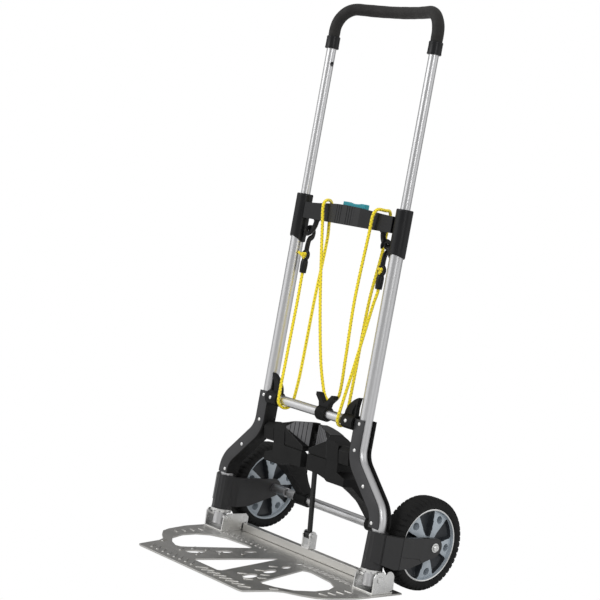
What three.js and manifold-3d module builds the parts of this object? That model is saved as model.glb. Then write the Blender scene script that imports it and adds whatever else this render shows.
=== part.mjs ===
// A folding aluminium hand truck, drawn standing with its toe plate down and its handle pulled out.
// Millimetres, +Z up, -Y forward over the toe plate, +X to the right as seen from the front.
// The origin is on the ground under the toe plate, where the lines of the two frame tubes meet it.
// Pieces of the frame are drawn in the frame's own axes: x across, y back from the tubes' plane,
// z along the tubes. That group then leans back.
import * as THREE from "three";
import { mergeVertices } from "three/addons/utils/BufferGeometryUtils.js";
import Module from "manifold-3d";

const wasm = await Module();
wasm.setup();

// ---- driving dimensions ----
const LEAN = 3.2; // degrees that the frame leans back from square to the toe plate
const FRAME_HALF = 135; // centre line to a frame tube, above the bend
const FORK_HALF = 215; // centre line to a frame tube, below the bend
const TUBE_R = 12.5; // lower frame tube, outside
const TUBE_WALL = 1.6;
const UPPER_R = 9; // telescopic handle tube, outside
const UPPER_WALL = 1.4;
const BEND_R = 50; // centre line radius of the frame tubes' bends
const BEND_HIGH = 222; // height at which the upper straight meets the slanted run
const TUBE_FOOT = 14; // bottom end of the frame tubes
const TUBE_TOP = 667; // top end of the lower tubes, inside the housings
const HINGE_Z = 29; // toe plate hinge, along the frame
const HANDLE_TOP = 1031; // centre line of the grip bar
const HANDLE_BOW = 44; // how far the grip bar bows back
const HANDLE_FOOT = 598; // bottom end of the handle tubes, pulled out
const HANDLE_TRAVEL = 270;
const COLLAR_Z = 953; // bottom of the grip's end collars
const GRIP_R = 11.2;
const WHEEL_R = 86;
const RIM_R = 67.6;
const WHEEL_WIDE = 44;
const WHEEL_IN_FORK = 7; // wheel's middle plane, outboard of the fork tube
const WHEEL_BACK = 106.7; // axle behind the fork tube
const AXLE_Z = 92; // axle along the frame
const AXLE_TUBE_R = 9;
const AXLE_TUBE_HALF = 143.5; // half length of the tube that the yoke carries
const STUB_GAP = 7; // between that tube and each fork's stub
const FORK_LOW = 44.5; // fork hub, along the frame
const FORK_HIGH = 111;
const ARM_INNER = 24; // fork's inner arm face, inboard of its tube
const ARM_OUTER = 43; // fork's outer arm face, outboard of its tube
const PIVOT_Y = 12; // yoke pivot, behind the tubes' plane
const PIVOT_Z = 220;
const PIVOT_R = 4;
const CROSS_Z = 285; // upper cross tube
const CROSS_Y = -8.7;
const CROSS_R = 9;
const CLIP_X = 33; // where the cord clip sits on the cross tube
const BAR_LOW = 631; // handle bracket's crossbar
const BAR_HIGH = 661;
const BAR_FRONT = -20; // at the middle of the crossbar
const BAR_BACK = 17;
const HOUSING_R = 15.6;
const HOUSING_LOW = 590;
const HOUSING_HIGH = 676;
const PIN_Z = 654; // lock pins, and the lower lock holes in the handle tubes
const PIN_R = 4;
const TOE_FRONT = -238;
const TOE_BACK = 56;
const TOE_THICK = 3;
const TOE_HALF_FRONT = 153;
const TOE_HALF_BACK = 246;
const RAIL_Y = 46.5; // aluminium bar along the back of the toe plate
const RAIL_WIDE = 13;
const RAIL_HIGH = 15;
const CLEVIS_Z = 44; // strut pin, above the ground
const CLEVIS_Y = 45;
const STRUT_TOP_Z = 238;
const STRUT_TOP_Y = 30.4;
const CORD_R = 3; // elastic cord, 6 mm thick
const FIT = 0.35; // gap between pieces that touch
const SLIDE_FIT = 0.5; // gap between pieces that slide or turn on each other

const lean = THREE.MathUtils.degToRad(LEAN);

// ---- materials ----
const colour = (hex, roughness, metalness = 0) =>
  new THREE.MeshStandardMaterial({ color: hex, roughness, metalness });
const ALUMINIUM = () => colour(0xb9babc, 0.32, 1);
const SHEET = () => colour(0xaaa69f, 0.45, 1);
const STEEL = () => colour(0xc9c9c9, 0.3, 1);
const BLACK = () => colour(0x2b2a29, 0.6);
const DARK = () => colour(0x1c1c1c, 0.8);
const FOAM = () => colour(0x262626, 0.95);
const GREY = () => colour(0x8a9096, 0.5);
const TEAL = () => colour(0x149aa8, 0.45);
const CORD = () => colour(0xe6c524, 0.8);

// ---- solids: three.js shapes, joined and cut as manifold solids ----
function solid(geometry) {
  const bare = geometry.index ? geometry.toNonIndexed() : geometry.clone();
  bare.deleteAttribute("normal");
  bare.deleteAttribute("uv");
  const merged = mergeVertices(bare, 1e-4);
  return new wasm.Manifold(
    new wasm.Mesh({
      numProp: 3,
      vertProperties: new Float32Array(merged.attributes.position.array),
      triVerts: new Uint32Array(merged.index.array),
    }),
  );
}

const join = (...parts) => parts.reduce((a, b) => a.add(b));
const cut = (body, ...tools) => tools.reduce((a, b) => a.subtract(b), body);
const mirrored = (body) => body.mirror([1, 0, 0]);

function box(x0, x1, y0, y1, z0, z1) {
  const g = new THREE.BoxGeometry(x1 - x0, y1 - y0, z1 - z0);
  return solid(g.translate((x0 + x1) / 2, (y0 + y1) / 2, (z0 + z1) / 2));
}

// A round bar along x, y or z from a to b, centred on the other two coordinates in order.
function rod(axis, r, a, b, u, v, sides = 16, rEnd = r) {
  const g = new THREE.CylinderGeometry(rEnd, r, b - a, sides);
  if (axis === "x") g.rotateZ(-Math.PI / 2).translate((a + b) / 2, u, v);
  if (axis === "y") g.translate(u, (a + b) / 2, v);
  if (axis === "z") g.rotateX(Math.PI / 2).translate(u, v, (a + b) / 2);
  return solid(g);
}

const shapeOf = (points) => new THREE.Shape(points.map(([u, v]) => new THREE.Vector2(u, v)));

// An outline pushed straight through: front view (x, z), side view (y, z) or plan (x, y).
function slab(view, points, from, to) {
  const g = new THREE.ExtrudeGeometry(shapeOf(points), {
    depth: to - from,
    bevelEnabled: false,
  });
  if (view === "front") g.rotateX(Math.PI / 2).translate(0, to, 0);
  if (view === "side") {
    g.applyMatrix4(new THREE.Matrix4().makeBasis(
      new THREE.Vector3(0, 1, 0),
      new THREE.Vector3(0, 0, 1),
      new THREE.Vector3(1, 0, 0),
    )).translate(from, 0, 0);
  }
  if (view === "plan") g.translate(0, 0, from);
  return solid(g);
}

// Points of an arc in a plane, from one angle to another, in degrees.
function arc(cu, cv, r, a0, a1, steps = 8) {
  const points = [];
  for (let i = 0; i <= steps; i++) {
    const a = THREE.MathUtils.degToRad(a0 + ((a1 - a0) * i) / steps);
    points.push([cu + r * Math.cos(a), cv + r * Math.sin(a)]);
  }
  return points;
}

// A route through corners, each corner rounded to its radius: [x, y, z, radius].
function route(corners, stepAngle = 15) {
  const at = corners.map(([x, y, z]) => new THREE.Vector3(x, y, z));
  const stations = [at[0]];
  for (let i = 1; i < at.length - 1; i++) {
    const back = at[i - 1].clone().sub(at[i]).normalize();
    const on = at[i + 1].clone().sub(at[i]).normalize();
    const turn = Math.PI - back.angleTo(on);
    const reach = corners[i][3] * Math.tan(turn / 2);
    const bisector = back.clone().add(on).normalize();
    const centre = at[i].clone().addScaledVector(bisector, corners[i][3] / Math.cos(turn / 2));
    const start = at[i].clone().addScaledVector(back, reach).sub(centre);
    const axis = start.clone().cross(at[i].clone().addScaledVector(on, reach).sub(centre)).normalize();
    const steps = Math.max(1, Math.ceil(THREE.MathUtils.radToDeg(turn) / stepAngle));
    for (let k = 0; k <= steps; k++) {
      stations.push(start.clone().applyAxisAngle(axis, (turn * k) / steps).add(centre));
    }
  }
  stations.push(at[at.length - 1]);
  return stations;
}

// The path that an extrusion follows: it goes straight from station to station.
class Stations extends THREE.Curve {
  constructor(points) {
    super();
    this.points = points;
  }
  getPoint(t, target = new THREE.Vector3()) {
    const last = this.points.length - 1;
    const i = Math.min(last - 1, Math.max(0, Math.floor(t * last + 1e-9)));
    return target.lerpVectors(this.points[i], this.points[i + 1], t * last - i);
  }
  getUtoTmapping(u) {
    return u;
  }
}

function sweep(stations, r, inner = 0, sides = 16) {
  const ring = new THREE.Shape();
  ring.absarc(0, 0, r, 0, 2 * Math.PI, false);
  if (inner) {
    const hole = new THREE.Path();
    hole.absarc(0, 0, inner, 0, 2 * Math.PI, true);
    ring.holes.push(hole);
  }
  return solid(new THREE.ExtrudeGeometry(ring, {
    steps: stations.length - 1,
    curveSegments: sides / 2,
    extrudePath: new Stations(stations),
  }));
}

// A ring turned about an x axis through (cy, cz): profile points are [radius, x], along the bore
// first and back over the outside.
function turned(profile, cy, cz, segments = 40) {
  const points = profile.map(([r, x]) => new THREE.Vector2(r, x)).reverse();
  const g = new THREE.LatheGeometry(points, segments);
  return solid(g.rotateZ(-Math.PI / 2).translate(0, cy, cz));
}

const hand_truck = new THREE.Group();
const frame = new THREE.Group();
frame.rotation.x = -lean;
hand_truck.add(frame);

function piece(group, name, body, material) {
  const mesh = body.getMesh();
  const g = new THREE.BufferGeometry();
  const xyz = new Float32Array(mesh.numVert * 3);
  for (let i = 0; i < mesh.numVert; i++) {
    xyz.set(mesh.vertProperties.subarray(i * mesh.numProp, i * mesh.numProp + 3), i * 3);
  }
  g.setAttribute("position", new THREE.BufferAttribute(xyz, 3));
  g.setIndex(new THREE.BufferAttribute(new Uint32Array(mesh.triVerts), 1));
  g.computeVertexNormals();
  const made = new THREE.Mesh(g, material);
  made.name = name;
  group.add(made);
}

// The right-hand piece is drawn, and its mirror image is the left-hand one.
function pair(group, name, body, material) {
  piece(group, "right_" + name, body, material());
  piece(group, "left_" + name, mirrored(body), material());
}

// ---- frame tubes ----
const bendLow = BEND_HIGH - (FORK_HALF - FRAME_HALF);
const tubeLine = (from, to) =>
  route([
    [FORK_HALF, 0, from],
    [FORK_HALF, 0, bendLow, BEND_R],
    [FRAME_HALF, 0, BEND_HIGH, BEND_R],
    [FRAME_HALF, 0, to],
  ]);

function frameTubes() {
  const pinHole = rod("x", PIN_R + SLIDE_FIT, FRAME_HALF - 20, FRAME_HALF, 0, PIN_Z, 12);
  const hingeHole = rod("x", PIN_R + FIT, FORK_HALF - 20, FORK_HALF + 20, 0, HINGE_Z, 12);
  const tube = sweep(tubeLine(TUBE_FOOT, TUBE_TOP), TUBE_R, TUBE_R - TUBE_WALL);
  pair(frame, "lower_tube", cut(tube, pinHole, hingeHole), ALUMINIUM);
}

// ---- side covers: a channel round the front, inboard and back of each bend ----
const COVER_LOW = FORK_HIGH + 1.5;
const COVER_HIGH = 294;
const COVER_FRONT = TUBE_R + 2.3; // the lip's face in front of the tube
const LIP_HALF = 11.5; // the lip's half width over the tube
const WEB_OUT = TUBE_R + 3.2;

// The outline between two offsets from the tube's line, seen from the front.
function band(from, to, inboard, outboard) {
  const line = tubeLine(from, to);
  const side = (distance) =>
    line.map((p, i) => {
      const before = line[Math.max(0, i - 1)];
      const after = line[Math.min(line.length - 1, i + 1)];
      const along = after.clone().sub(before).normalize();
      return [p.x + along.z * distance, p.z - along.x * distance];
    });
  return [...side(outboard), ...side(-inboard).reverse()];
}

function sideCovers() {
  const wall = slab("front", band(COVER_LOW, COVER_HIGH, WEB_OUT, TUBE_R + 1), -COVER_FRONT, COVER_FRONT);
  const lipTrim = slab("front", band(COVER_LOW - 5, COVER_HIGH + 5, -LIP_HALF, 40), -30, TUBE_R * 0.4);
  const tubeBore = sweep(tubeLine(COVER_LOW - 5, COVER_HIGH + 5), TUBE_R + FIT, 0, 20);
  const opening = slab("front", band(COVER_LOW - 5, COVER_HIGH + 5, -2, 40), -TUBE_R, TUBE_R);
  const socketEnd = FRAME_HALF - TUBE_R - FIT;
  const socket = rod("x", 14, 91, socketEnd, CROSS_Y, CROSS_Z, 20);
  const horn = slab("front", [
    [88, CROSS_Z + 8],
    [120, CROSS_Z + 8],
    [118.5, CROSS_Z + 26],
    [121.5, CROSS_Z + 46],
    [113, CROSS_Z + 45],
    [101, CROSS_Z + 33],
    [93, CROSS_Z + 20],
  ], CROSS_Y - 5, CROSS_Y + 5);
  const socketBore = rod("x", CROSS_R + FIT, 80, CROSS_HALF + FIT, CROSS_Y, CROSS_Z, 20);
  const body = cut(join(wall, socket, horn), tubeBore, opening, lipTrim, socketBore);
  pair(frame, "side_cover", body, BLACK);
}

// ---- upper cross tube and the cord clip on it ----
const CROSS_HALF = 117;

function crossTube() {
  const line = [new THREE.Vector3(-CROSS_HALF, CROSS_Y, CROSS_Z), new THREE.Vector3(CROSS_HALF, CROSS_Y, CROSS_Z)];
  piece(frame, "upper_cross_tube", sweep(line, CROSS_R, CROSS_R - 1.5, 20), ALUMINIUM());
}

function cordClip() {
  const ring = rod("x", CROSS_R + 4.5, CLIP_X - 12, CLIP_X + 12, CROSS_Y, CROSS_Z, 20);
  const prongs = [-1, 1].map((side) => {
    const outline = [
      [CLIP_X + side * 1, CROSS_Z + 9],
      [CLIP_X + side * 11, CROSS_Z + 9],
      [CLIP_X + side * 14, CROSS_Z + 20],
      [CLIP_X + side * 24, CROSS_Z + 30],
      [CLIP_X + side * 24, CROSS_Z + 36],
      [CLIP_X + side * 17, CROSS_Z + 36],
      [CLIP_X + side * 5, CROSS_Z + 22],
      [CLIP_X + side * 1, CROSS_Z + 20],
    ];
    return slab("front", side > 0 ? outline : outline.reverse(), CROSS_Y - 6, CROSS_Y + 6);
  });
  const neck = box(CLIP_X - 8, CLIP_X + 8, CROSS_Y - 6, CROSS_Y + 6, CROSS_Z + 8, CROSS_Z + 19);
  const bore = rod("x", CROSS_R + FIT, CLIP_X - 20, CLIP_X + 20, CROSS_Y, CROSS_Z, 20);
  piece(frame, "cord_clip", cut(join(ring, neck, ...prongs), bore), BLACK());
}

// ---- handle bracket: tube housings, crossbar shells, lock pins and release button ----
const BAR_HALF = FRAME_HALF - HOUSING_R - FIT;

function tubeHousings() {
  const profile = slab("side", [
    [-HOUSING_R, HOUSING_HIGH],
    [-HOUSING_R, HOUSING_LOW + 14],
    [-4, HOUSING_LOW],
    [HOUSING_R, HOUSING_LOW - 6],
    [HOUSING_R, HOUSING_HIGH],
  ], FRAME_HALF - 20, FRAME_HALF + 20);
  const round = rod("z", HOUSING_R, HOUSING_LOW - 10, HOUSING_HIGH, FRAME_HALF, 0, 20);
  const lowerBore = rod("z", TUBE_R + FIT, HOUSING_LOW - 20, TUBE_TOP + FIT, FRAME_HALF, 0, 20);
  const upperBore = rod("z", UPPER_R + SLIDE_FIT, TUBE_TOP - 5, HOUSING_HIGH + 5, FRAME_HALF, 0, 20);
  const pinHole = rod("x", PIN_R + SLIDE_FIT, FRAME_HALF - 20, FRAME_HALF, 0, PIN_Z, 12);
  const body = cut(round.intersect(profile), lowerBore, upperBore, pinHole);
  pair(frame, "tube_housing", body, BLACK);
}

// The crossbar's plan outline: flat at the ends and bowed forward in the middle.
function barPlan(inset, front) {
  const reach = BAR_HALF - inset;
  const face = [];
  for (let i = 0; i <= 12; i++) {
    const x = -reach + (2 * reach * i) / 12;
    const bow = Math.cos((Math.PI * x) / (2 * BAR_HALF)) ** 2;
    face.push([x, -11 + inset + (BAR_FRONT + 11) * bow]);
  }
  return [...face, [reach, front], [-reach, front]];
}

const SHELL = 2.6;
const BAR_SPLIT = -3;

function crossbarShells() {
  const topLine = [];
  for (let i = 0; i <= 12; i++) {
    const x = -BAR_HALF + (2 * BAR_HALF * i) / 12;
    topLine.push([x, BAR_HIGH + 6 * Math.cos((Math.PI * x) / (2 * BAR_HALF)) ** 2]);
  }
  const face = [...topLine.reverse(), [-BAR_HALF, BAR_LOW], [BAR_HALF, BAR_LOW]];
  const outline = slab("front", face, -40, BAR_SPLIT - FIT);
  const outer = slab("plan", barPlan(0, BAR_SPLIT - FIT), BAR_LOW - 5, BAR_HIGH + 10);
  const hollow = slab("plan", barPlan(SHELL, BAR_SPLIT + 5), BAR_LOW + SHELL, BAR_HIGH - SHELL);
  const ribs = [-1, 1].flatMap((side) =>
    [8, 14, 20, 26].map((x) =>
      box(side * x - 0.6, side * x + 0.6, BAR_FRONT - 5, BAR_FRONT + 1.2, BAR_LOW - 5, BAR_HIGH + 10)),
  );
  const pinWays = rod("x", PIN_R + SLIDE_FIT, -BAR_HALF - 5, BAR_HALF + 5, 0, PIN_Z, 16);
  piece(frame, "crossbar_front_shell", cut(outer.intersect(outline), hollow, pinWays, ...ribs), BLACK());

  const hooks = [-1, 1].map((side) => {
    const centre = [side * 121, BAR_LOW];
    const from = side > 0 ? 180 : 0;
    const to = side > 0 ? 262 : -82;
    const outline = [
      ...arc(...centre, 34, from, to, 7),
      ...arc(...centre, 27, to, from, 7),
    ];
    return slab("front", side > 0 ? outline : outline.reverse(), BAR_SPLIT, BAR_SPLIT + 7);
  });
  const stubs = [-1, 1].map((side) =>
    box(side > 0 ? 85 : -96, side > 0 ? 96 : -85, BAR_SPLIT, BAR_SPLIT + 7, BAR_LOW - 2, BAR_LOW + 1));
  const back = box(-BAR_HALF, BAR_HALF, BAR_SPLIT, BAR_BACK, BAR_LOW, BAR_HIGH);
  const pocket = box(-BAR_HALF + SHELL, BAR_HALF - SHELL, BAR_SPLIT - 5, BAR_BACK - SHELL,
    BAR_LOW + SHELL, BAR_HIGH - SHELL);
  const buttonWay = box(-BUTTON_HALF - SLIDE_FIT, BUTTON_HALF + SLIDE_FIT, BUTTON_FRONT - SLIDE_FIT,
    BUTTON_BACK + SLIDE_FIT, BAR_HIGH - 10, BAR_HIGH + 10);
  const seat = rod("z", 2.4, BAR_LOW + SHELL - 1, BAR_LOW + SHELL + 5, 0, (BUTTON_FRONT + BUTTON_BACK) / 2, 12);
  const carriers = [-1, 1].map((side) =>
    box(side > 0 ? 84 : -92, side > 0 ? 92 : -84, BAR_SPLIT + 1, BAR_BACK - SHELL + 1, BAR_LOW + 1, BAR_HIGH - 1));
  const shell = join(cut(back, pocket), ...hooks, ...stubs, seat, ...carriers);
  piece(frame, "crossbar_rear_shell", cut(shell, buttonWay, pinWays), BLACK());
}

const BUTTON_HALF = 30;
const BUTTON_FRONT = 2.5;
const BUTTON_BACK = 13.5;

function release() {
  const y = (BUTTON_FRONT + BUTTON_BACK) / 2;
  const head = box(-BUTTON_HALF, BUTTON_HALF, BUTTON_FRONT, BUTTON_BACK, BAR_HIGH - 12, BAR_HIGH + 13);
  const scoop = rod("y", 90, BUTTON_FRONT - 1, BUTTON_BACK + 1, 0, BAR_HIGH + 13 + 88, 48);
  const springHole = rod("z", 4.4, BAR_HIGH - 13, BAR_HIGH - 4, 0, y, 12);
  piece(frame, "release_button", cut(head, scoop, springHole), TEAL());

  const springLow = BAR_LOW + SHELL + FIT;
  const springHigh = BAR_HIGH - 4 - FIT;
  const turns = 5;
  const coil = [];
  for (let i = 0; i <= turns * 8; i++) {
    const a = (i / 8) * 2 * Math.PI;
    const climb = springLow + 0.7 + ((springHigh - springLow - 1.4) * i) / (turns * 8);
    coil.push(new THREE.Vector3(3.5 * Math.cos(a), y + 3.5 * Math.sin(a), climb));
  }
  piece(frame, "button_spring", sweep(coil, 0.6, 0, 6), STEEL());

  const pin = join(
    rod("x", PIN_R, 62, FRAME_HALF - UPPER_R - SLIDE_FIT, 0, PIN_Z, 16),
    box(44, 63, -1.8, 1.8, PIN_Z - 5, PIN_Z + 3),
  );
  pair(frame, "lock_pin", pin, STEEL);
}

// ---- telescopic handle ----
const handleLine = (foot) => {
  const right = [FRAME_HALF, 0, HANDLE_TOP, 44];
  const left = [-FRAME_HALF, 0, HANDLE_TOP, 44];
  return route([
    [FRAME_HALF, 0, foot],
    right,
    [0, HANDLE_BOW, HANDLE_TOP, 260],
    left,
    [-FRAME_HALF, 0, foot],
  ]);
};

function handle() {
  const tube = sweep(handleLine(HANDLE_FOOT), UPPER_R, UPPER_R - UPPER_WALL, 16);
  const holes = [-1, 1].flatMap((side) =>
    [PIN_Z, PIN_Z + HANDLE_TRAVEL].map((z) =>
      rod("x", PIN_R + SLIDE_FIT, side > 0 ? FRAME_HALF - 12 : -FRAME_HALF,
        side > 0 ? FRAME_HALF : -FRAME_HALF + 12, 0, z, 12)),
  );
  piece(frame, "handle_tube", cut(tube, ...holes), ALUMINIUM());
  const gripFoot = COLLAR_Z + 23 + FIT;
  piece(frame, "foam_grip", sweep(handleLine(gripFoot), GRIP_R, UPPER_R + FIT, 16), FOAM());
  const collar = cut(
    rod("z", 13.2, COLLAR_Z, COLLAR_Z + 23, FRAME_HALF, 0, 20, 12.6),
    rod("z", UPPER_R + FIT, COLLAR_Z - 5, COLLAR_Z + 30, FRAME_HALF, 0, 20),
  );
  pair(frame, "grip_collar", collar, BLACK);
  const bush = cut(
    rod("z", TUBE_R - TUBE_WALL - FIT, HANDLE_FOOT - 8, HANDLE_FOOT + 4, FRAME_HALF, 0, 20),
    rod("z", UPPER_R + FIT, HANDLE_FOOT - FIT, HANDLE_FOOT + 10, FRAME_HALF, 0, 20),
    rod("z", UPPER_R - 3, HANDLE_FOOT - 12, HANDLE_FOOT + 10, FRAME_HALF, 0, 16),
  );
  pair(frame, "guide_bush", bush, DARK);
}

// ---- crown between the wings, and the wings that hold the yoke's pivots ----
const WING_IN = 91.5;
const CROWN_HALF = 58;
const SLOT_HALF = 8.5;
const CROWN_FRONT = -13;
const CROWN_LOW = 205;
const CROWN_HIGH = 259;

// The side outline that wings and knuckles share, up to a given height.
const crownSide = (high) => [
  [CROWN_FRONT, high - 9],
  [CROWN_FRONT, PIVOT_Z + 9],
  [-8, CROWN_LOW],
  [PIVOT_Y + 15, CROWN_LOW],
  [PIVOT_Y + 15, high],
  [CROWN_FRONT + 7, high],
];

function crown() {
  const body = slab("side", [
    [CROWN_FRONT + 7, CROWN_HIGH],
    [CROWN_FRONT, CROWN_HIGH - 9],
    [CROWN_FRONT, PIVOT_Z + 13],
    [-7, CROWN_LOW + 1],
    [2, CROWN_LOW + 1],
    ...arc(PIVOT_Y, PIVOT_Z, 15, -100, 0, 6),
    [PIVOT_Y + 15, CROWN_HIGH],
  ], -CROWN_HALF, CROWN_HALF);
  const top = [];
  for (let i = 0; i <= 12; i++) {
    const x = -CROWN_HALF + (2 * CROWN_HALF * i) / 12;
    top.push([x, CROWN_HIGH - 22 * (x / (WING_IN - 2)) ** 2]);
  }
  const outline = slab("front", [...top.reverse(), [-CROWN_HALF, CROWN_LOW - 5], [CROWN_HALF, CROWN_LOW - 5]], -40, 60);
    const slot = box(-SLOT_HALF, SLOT_HALF, -40, PIVOT_Y + 12.6, CROWN_LOW - 10, STRUT_TOP_Z + 10);
  const rear = box(-SLOT_HALF, SLOT_HALF, 0, 60, CROWN_LOW - 10, PIVOT_Z + 20);
  const grooves = [-1, 1].flatMap((side) =>
    [15, 23, 31, 39, 47].map((x) =>
      box(side * x - 1.1, side * x + 1.1, CROWN_FRONT - 5, CROWN_FRONT + 2, CROWN_LOW, CROWN_HIGH + 5)),
  );
  const pinHole = rod("x", PIVOT_R + FIT, -CROWN_HALF - 5, CROWN_HALF + 5, PIVOT_Y, PIVOT_Z, 16);
  piece(frame, "crown", cut(body.intersect(outline), slot, rear, pinHole, ...grooves), BLACK());

  const wingEnd = FRAME_HALF - WEB_OUT - FIT;
  const wing = slab("side", crownSide(PIVOT_Z + 18), WING_IN, wingEnd);
  const wingHole = rod("x", PIVOT_R + FIT, WING_IN - 5, wingEnd - 3, PIVOT_Y, PIVOT_Z, 16);
  pair(frame, "pivot_wing", cut(wing, wingHole), BLACK);
  pair(frame, "pivot_pin", rod("x", PIVOT_R, SLOT_HALF + 4, wingEnd - 3.5, PIVOT_Y, PIVOT_Z, 16), STEEL);
}

// ---- rear legs: each hangs from a pivot pin and carries the axle tube in a collar at its foot ----
const LEG_HALF_IN = CROWN_HALF + 1; // inboard face of a leg's knuckle
const LEG_IN = 87;
const LEG_OUT = 112;
const COLLAR_R = 13.5;

function rearLegs() {
  const knuckleEnd = WING_IN - 1;
  const knuckleFace = [
    [LEG_HALF_IN, 180],
    [knuckleEnd, 180],
    [knuckleEnd, PIVOT_Z + 17],
    [72, PIVOT_Z + 25],
    [LEG_HALF_IN, PIVOT_Z + 29],
  ];
  const knuckle = slab("side", crownSide(PIVOT_Z + 30), LEG_HALF_IN, knuckleEnd)
    .intersect(slab("front", knuckleFace, -40, 60));
  const legFace = [
    [LEG_HALF_IN, CROWN_LOW + 3],
    [LEG_HALF_IN, CROWN_LOW - 1],
    [SLOT_HALF, CROWN_LOW - 1],
    [SLOT_HALF, 174],
    [40, 173],
    [60, 169],
    [74, 161],
    [83, 147],
    [87, 130],
    [LEG_IN, AXLE_Z - 30],
    [LEG_OUT, AXLE_Z - 30],
    [LEG_OUT, 180],
    [knuckleEnd, 188],
    [knuckleEnd, CROWN_LOW + 3],
  ].reverse();
  const legSide = [
    [-8, CROWN_LOW + 3],
    [-6, 176],
    [-5, 165],
    [18, 165],
    [60, 135],
    [WHEEL_BACK - 12, 100],
    ...arc(WHEEL_BACK, AXLE_Z, COLLAR_R, 200, 395, 8),
    [78, 160],
    [42, 190],
    [27, CROWN_LOW + 3],
  ];
  const webSide = [
    [-8, CROWN_LOW - 1],
    [-5, 160],
    [24, 160],
    [24, 184],
    [PIVOT_Y, 196],
    [2, CROWN_LOW - 1],
  ];
  const web = slab("side", webSide, 0, LEG_HALF_IN + 1).intersect(slab("front", legFace, -20, 40));
  const leg = slab("side", legSide, LEG_HALF_IN, LEG_OUT).intersect(slab("front", legFace, -20, 200));
  const collar = rod("x", COLLAR_R, LEG_IN - 2, LEG_OUT + 6, WHEEL_BACK, AXLE_Z, 20);
  const bore = rod("x", AXLE_TUBE_R + FIT, 0, 200, WHEEL_BACK, AXLE_Z, 20);
  const pivotBore = rod("x", PIVOT_R + SLIDE_FIT, 0, 200, PIVOT_Y, PIVOT_Z, 16);
  pair(frame, "rear_leg", cut(join(knuckle, web, leg, collar), bore, pivotBore), BLACK);
  const line = [
    new THREE.Vector3(-AXLE_TUBE_HALF, WHEEL_BACK, AXLE_Z),
    new THREE.Vector3(AXLE_TUBE_HALF, WHEEL_BACK, AXLE_Z),
  ];
  piece(frame, "axle_tube", sweep(line, AXLE_TUBE_R, AXLE_TUBE_R - 1.5, 20), ALUMINIUM());
}

// ---- wheel forks, gear rings, stubs and bolts ----
const WHEEL_X = FORK_HALF + WHEEL_IN_FORK;
const STUB_END = FORK_HALF - ARM_INNER - FIT;

function forks() {
  const hub = rod("z", 19.5, FORK_LOW, FORK_HIGH, FORK_HALF, 0, 8, 18.4);
  const armSide = [
    [12, 51],
    [49, 54],
    [88, 67],
    ...arc(WHEEL_BACK, AXLE_Z, 17.5, -70, 80, 8),
  ];
  const innerSide = [...armSide, [12, FORK_HIGH - 2]];
  const outerSide = [...armSide, [12, FORK_HIGH - 2]];
  const armInner = slab("side", innerSide, FORK_HALF - ARM_INNER, FORK_HALF - ARM_INNER + 6);
  const armOuter = slab("side", outerSide, FORK_HALF + ARM_OUTER - 8, FORK_HALF + ARM_OUTER);
  const wrapSide = [
    [-20, 61],
    [15, 51],
    [34, 53],
    [34, FORK_HIGH - 2],
    [-20, FORK_HIGH - 1],
  ];
  const wrapPlan = [
    [-16, 8],
    [-18, 20],
    [-18, 32],
    [-ARM_INNER, 32],
    [-ARM_INNER, 16],
    [-19, 2],
    [-15, -10],
    [-8, -17],
    [8, -17],
    [20, -10],
    [34, 6],
    [ARM_OUTER - 3, 16],
    [ARM_OUTER, 28],
    [ARM_OUTER, 32],
    [ARM_OUTER - 8, 32],
    [ARM_OUTER - 9, 29],
    [26, 15],
    [16, 8],
  ].map(([x, y]) => [FORK_HALF + x, y]);
  const wrap = slab("plan", wrapPlan, 0, 300).intersect(slab("side", wrapSide, 150, 300));
  const behind = box(0, 400, 24, 200, 0, 300);
  const boss = rod("x", 15, FORK_HALF - ARM_INNER, FORK_HALF - ARM_INNER + 6.5, WHEEL_BACK, AXLE_Z, 20);
  const bore = rod("z", TUBE_R + SLIDE_FIT, 0, 300, FORK_HALF, 0, 20);
  const boltHole = rod("x", BOLT_R + FIT, 0, 400, WHEEL_BACK, AXLE_Z, 16);
  pair(frame, "wheel_fork", cut(join(hub, join(armInner, armOuter).intersect(behind), wrap, boss), bore, boltHole), BLACK);

  const ring = rod("z", 20, FORK_LOW - 7, FORK_LOW - FIT, FORK_HALF, 0, 20);
  const ringBore = rod("z", TUBE_R + SLIDE_FIT, 0, 300, FORK_HALF, 0, 20);
  const notches = [];
  for (let i = 0; i < 6; i++) {
    notches.push(box(-30, 30, -1.6, 1.6, FORK_LOW - 9, FORK_LOW - 4).rotate([0, 0, i * 30 + 15])
      .translate([FORK_HALF, 0, 0]));
  }
  pair(frame, "fork_gear", cut(ring, ringBore, ...notches), STEEL);

  const stub = cut(
    rod("x", AXLE_TUBE_R, AXLE_TUBE_HALF + STUB_GAP, STUB_END, WHEEL_BACK, AXLE_Z, 20),
    rod("x", AXLE_TUBE_R - 2, AXLE_TUBE_HALF, AXLE_TUBE_HALF + STUB_GAP + 12, WHEEL_BACK, AXLE_Z, 16),
  );
  pair(frame, "axle_stub", stub, ALUMINIUM);
  const outer = FORK_HALF + ARM_OUTER + FIT;
  const bolt = join(
    rod("x", BOLT_R, STUB_END + 1, outer + 1, WHEEL_BACK, AXLE_Z, 16),
    rod("x", 7, outer, outer + 3.5, WHEEL_BACK, AXLE_Z, 6),
  );
  pair(frame, "axle_bolt", bolt, STEEL);
}

const BOLT_R = 4;
const BUSH_R = 7;
const SPOKES = 5;

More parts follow.
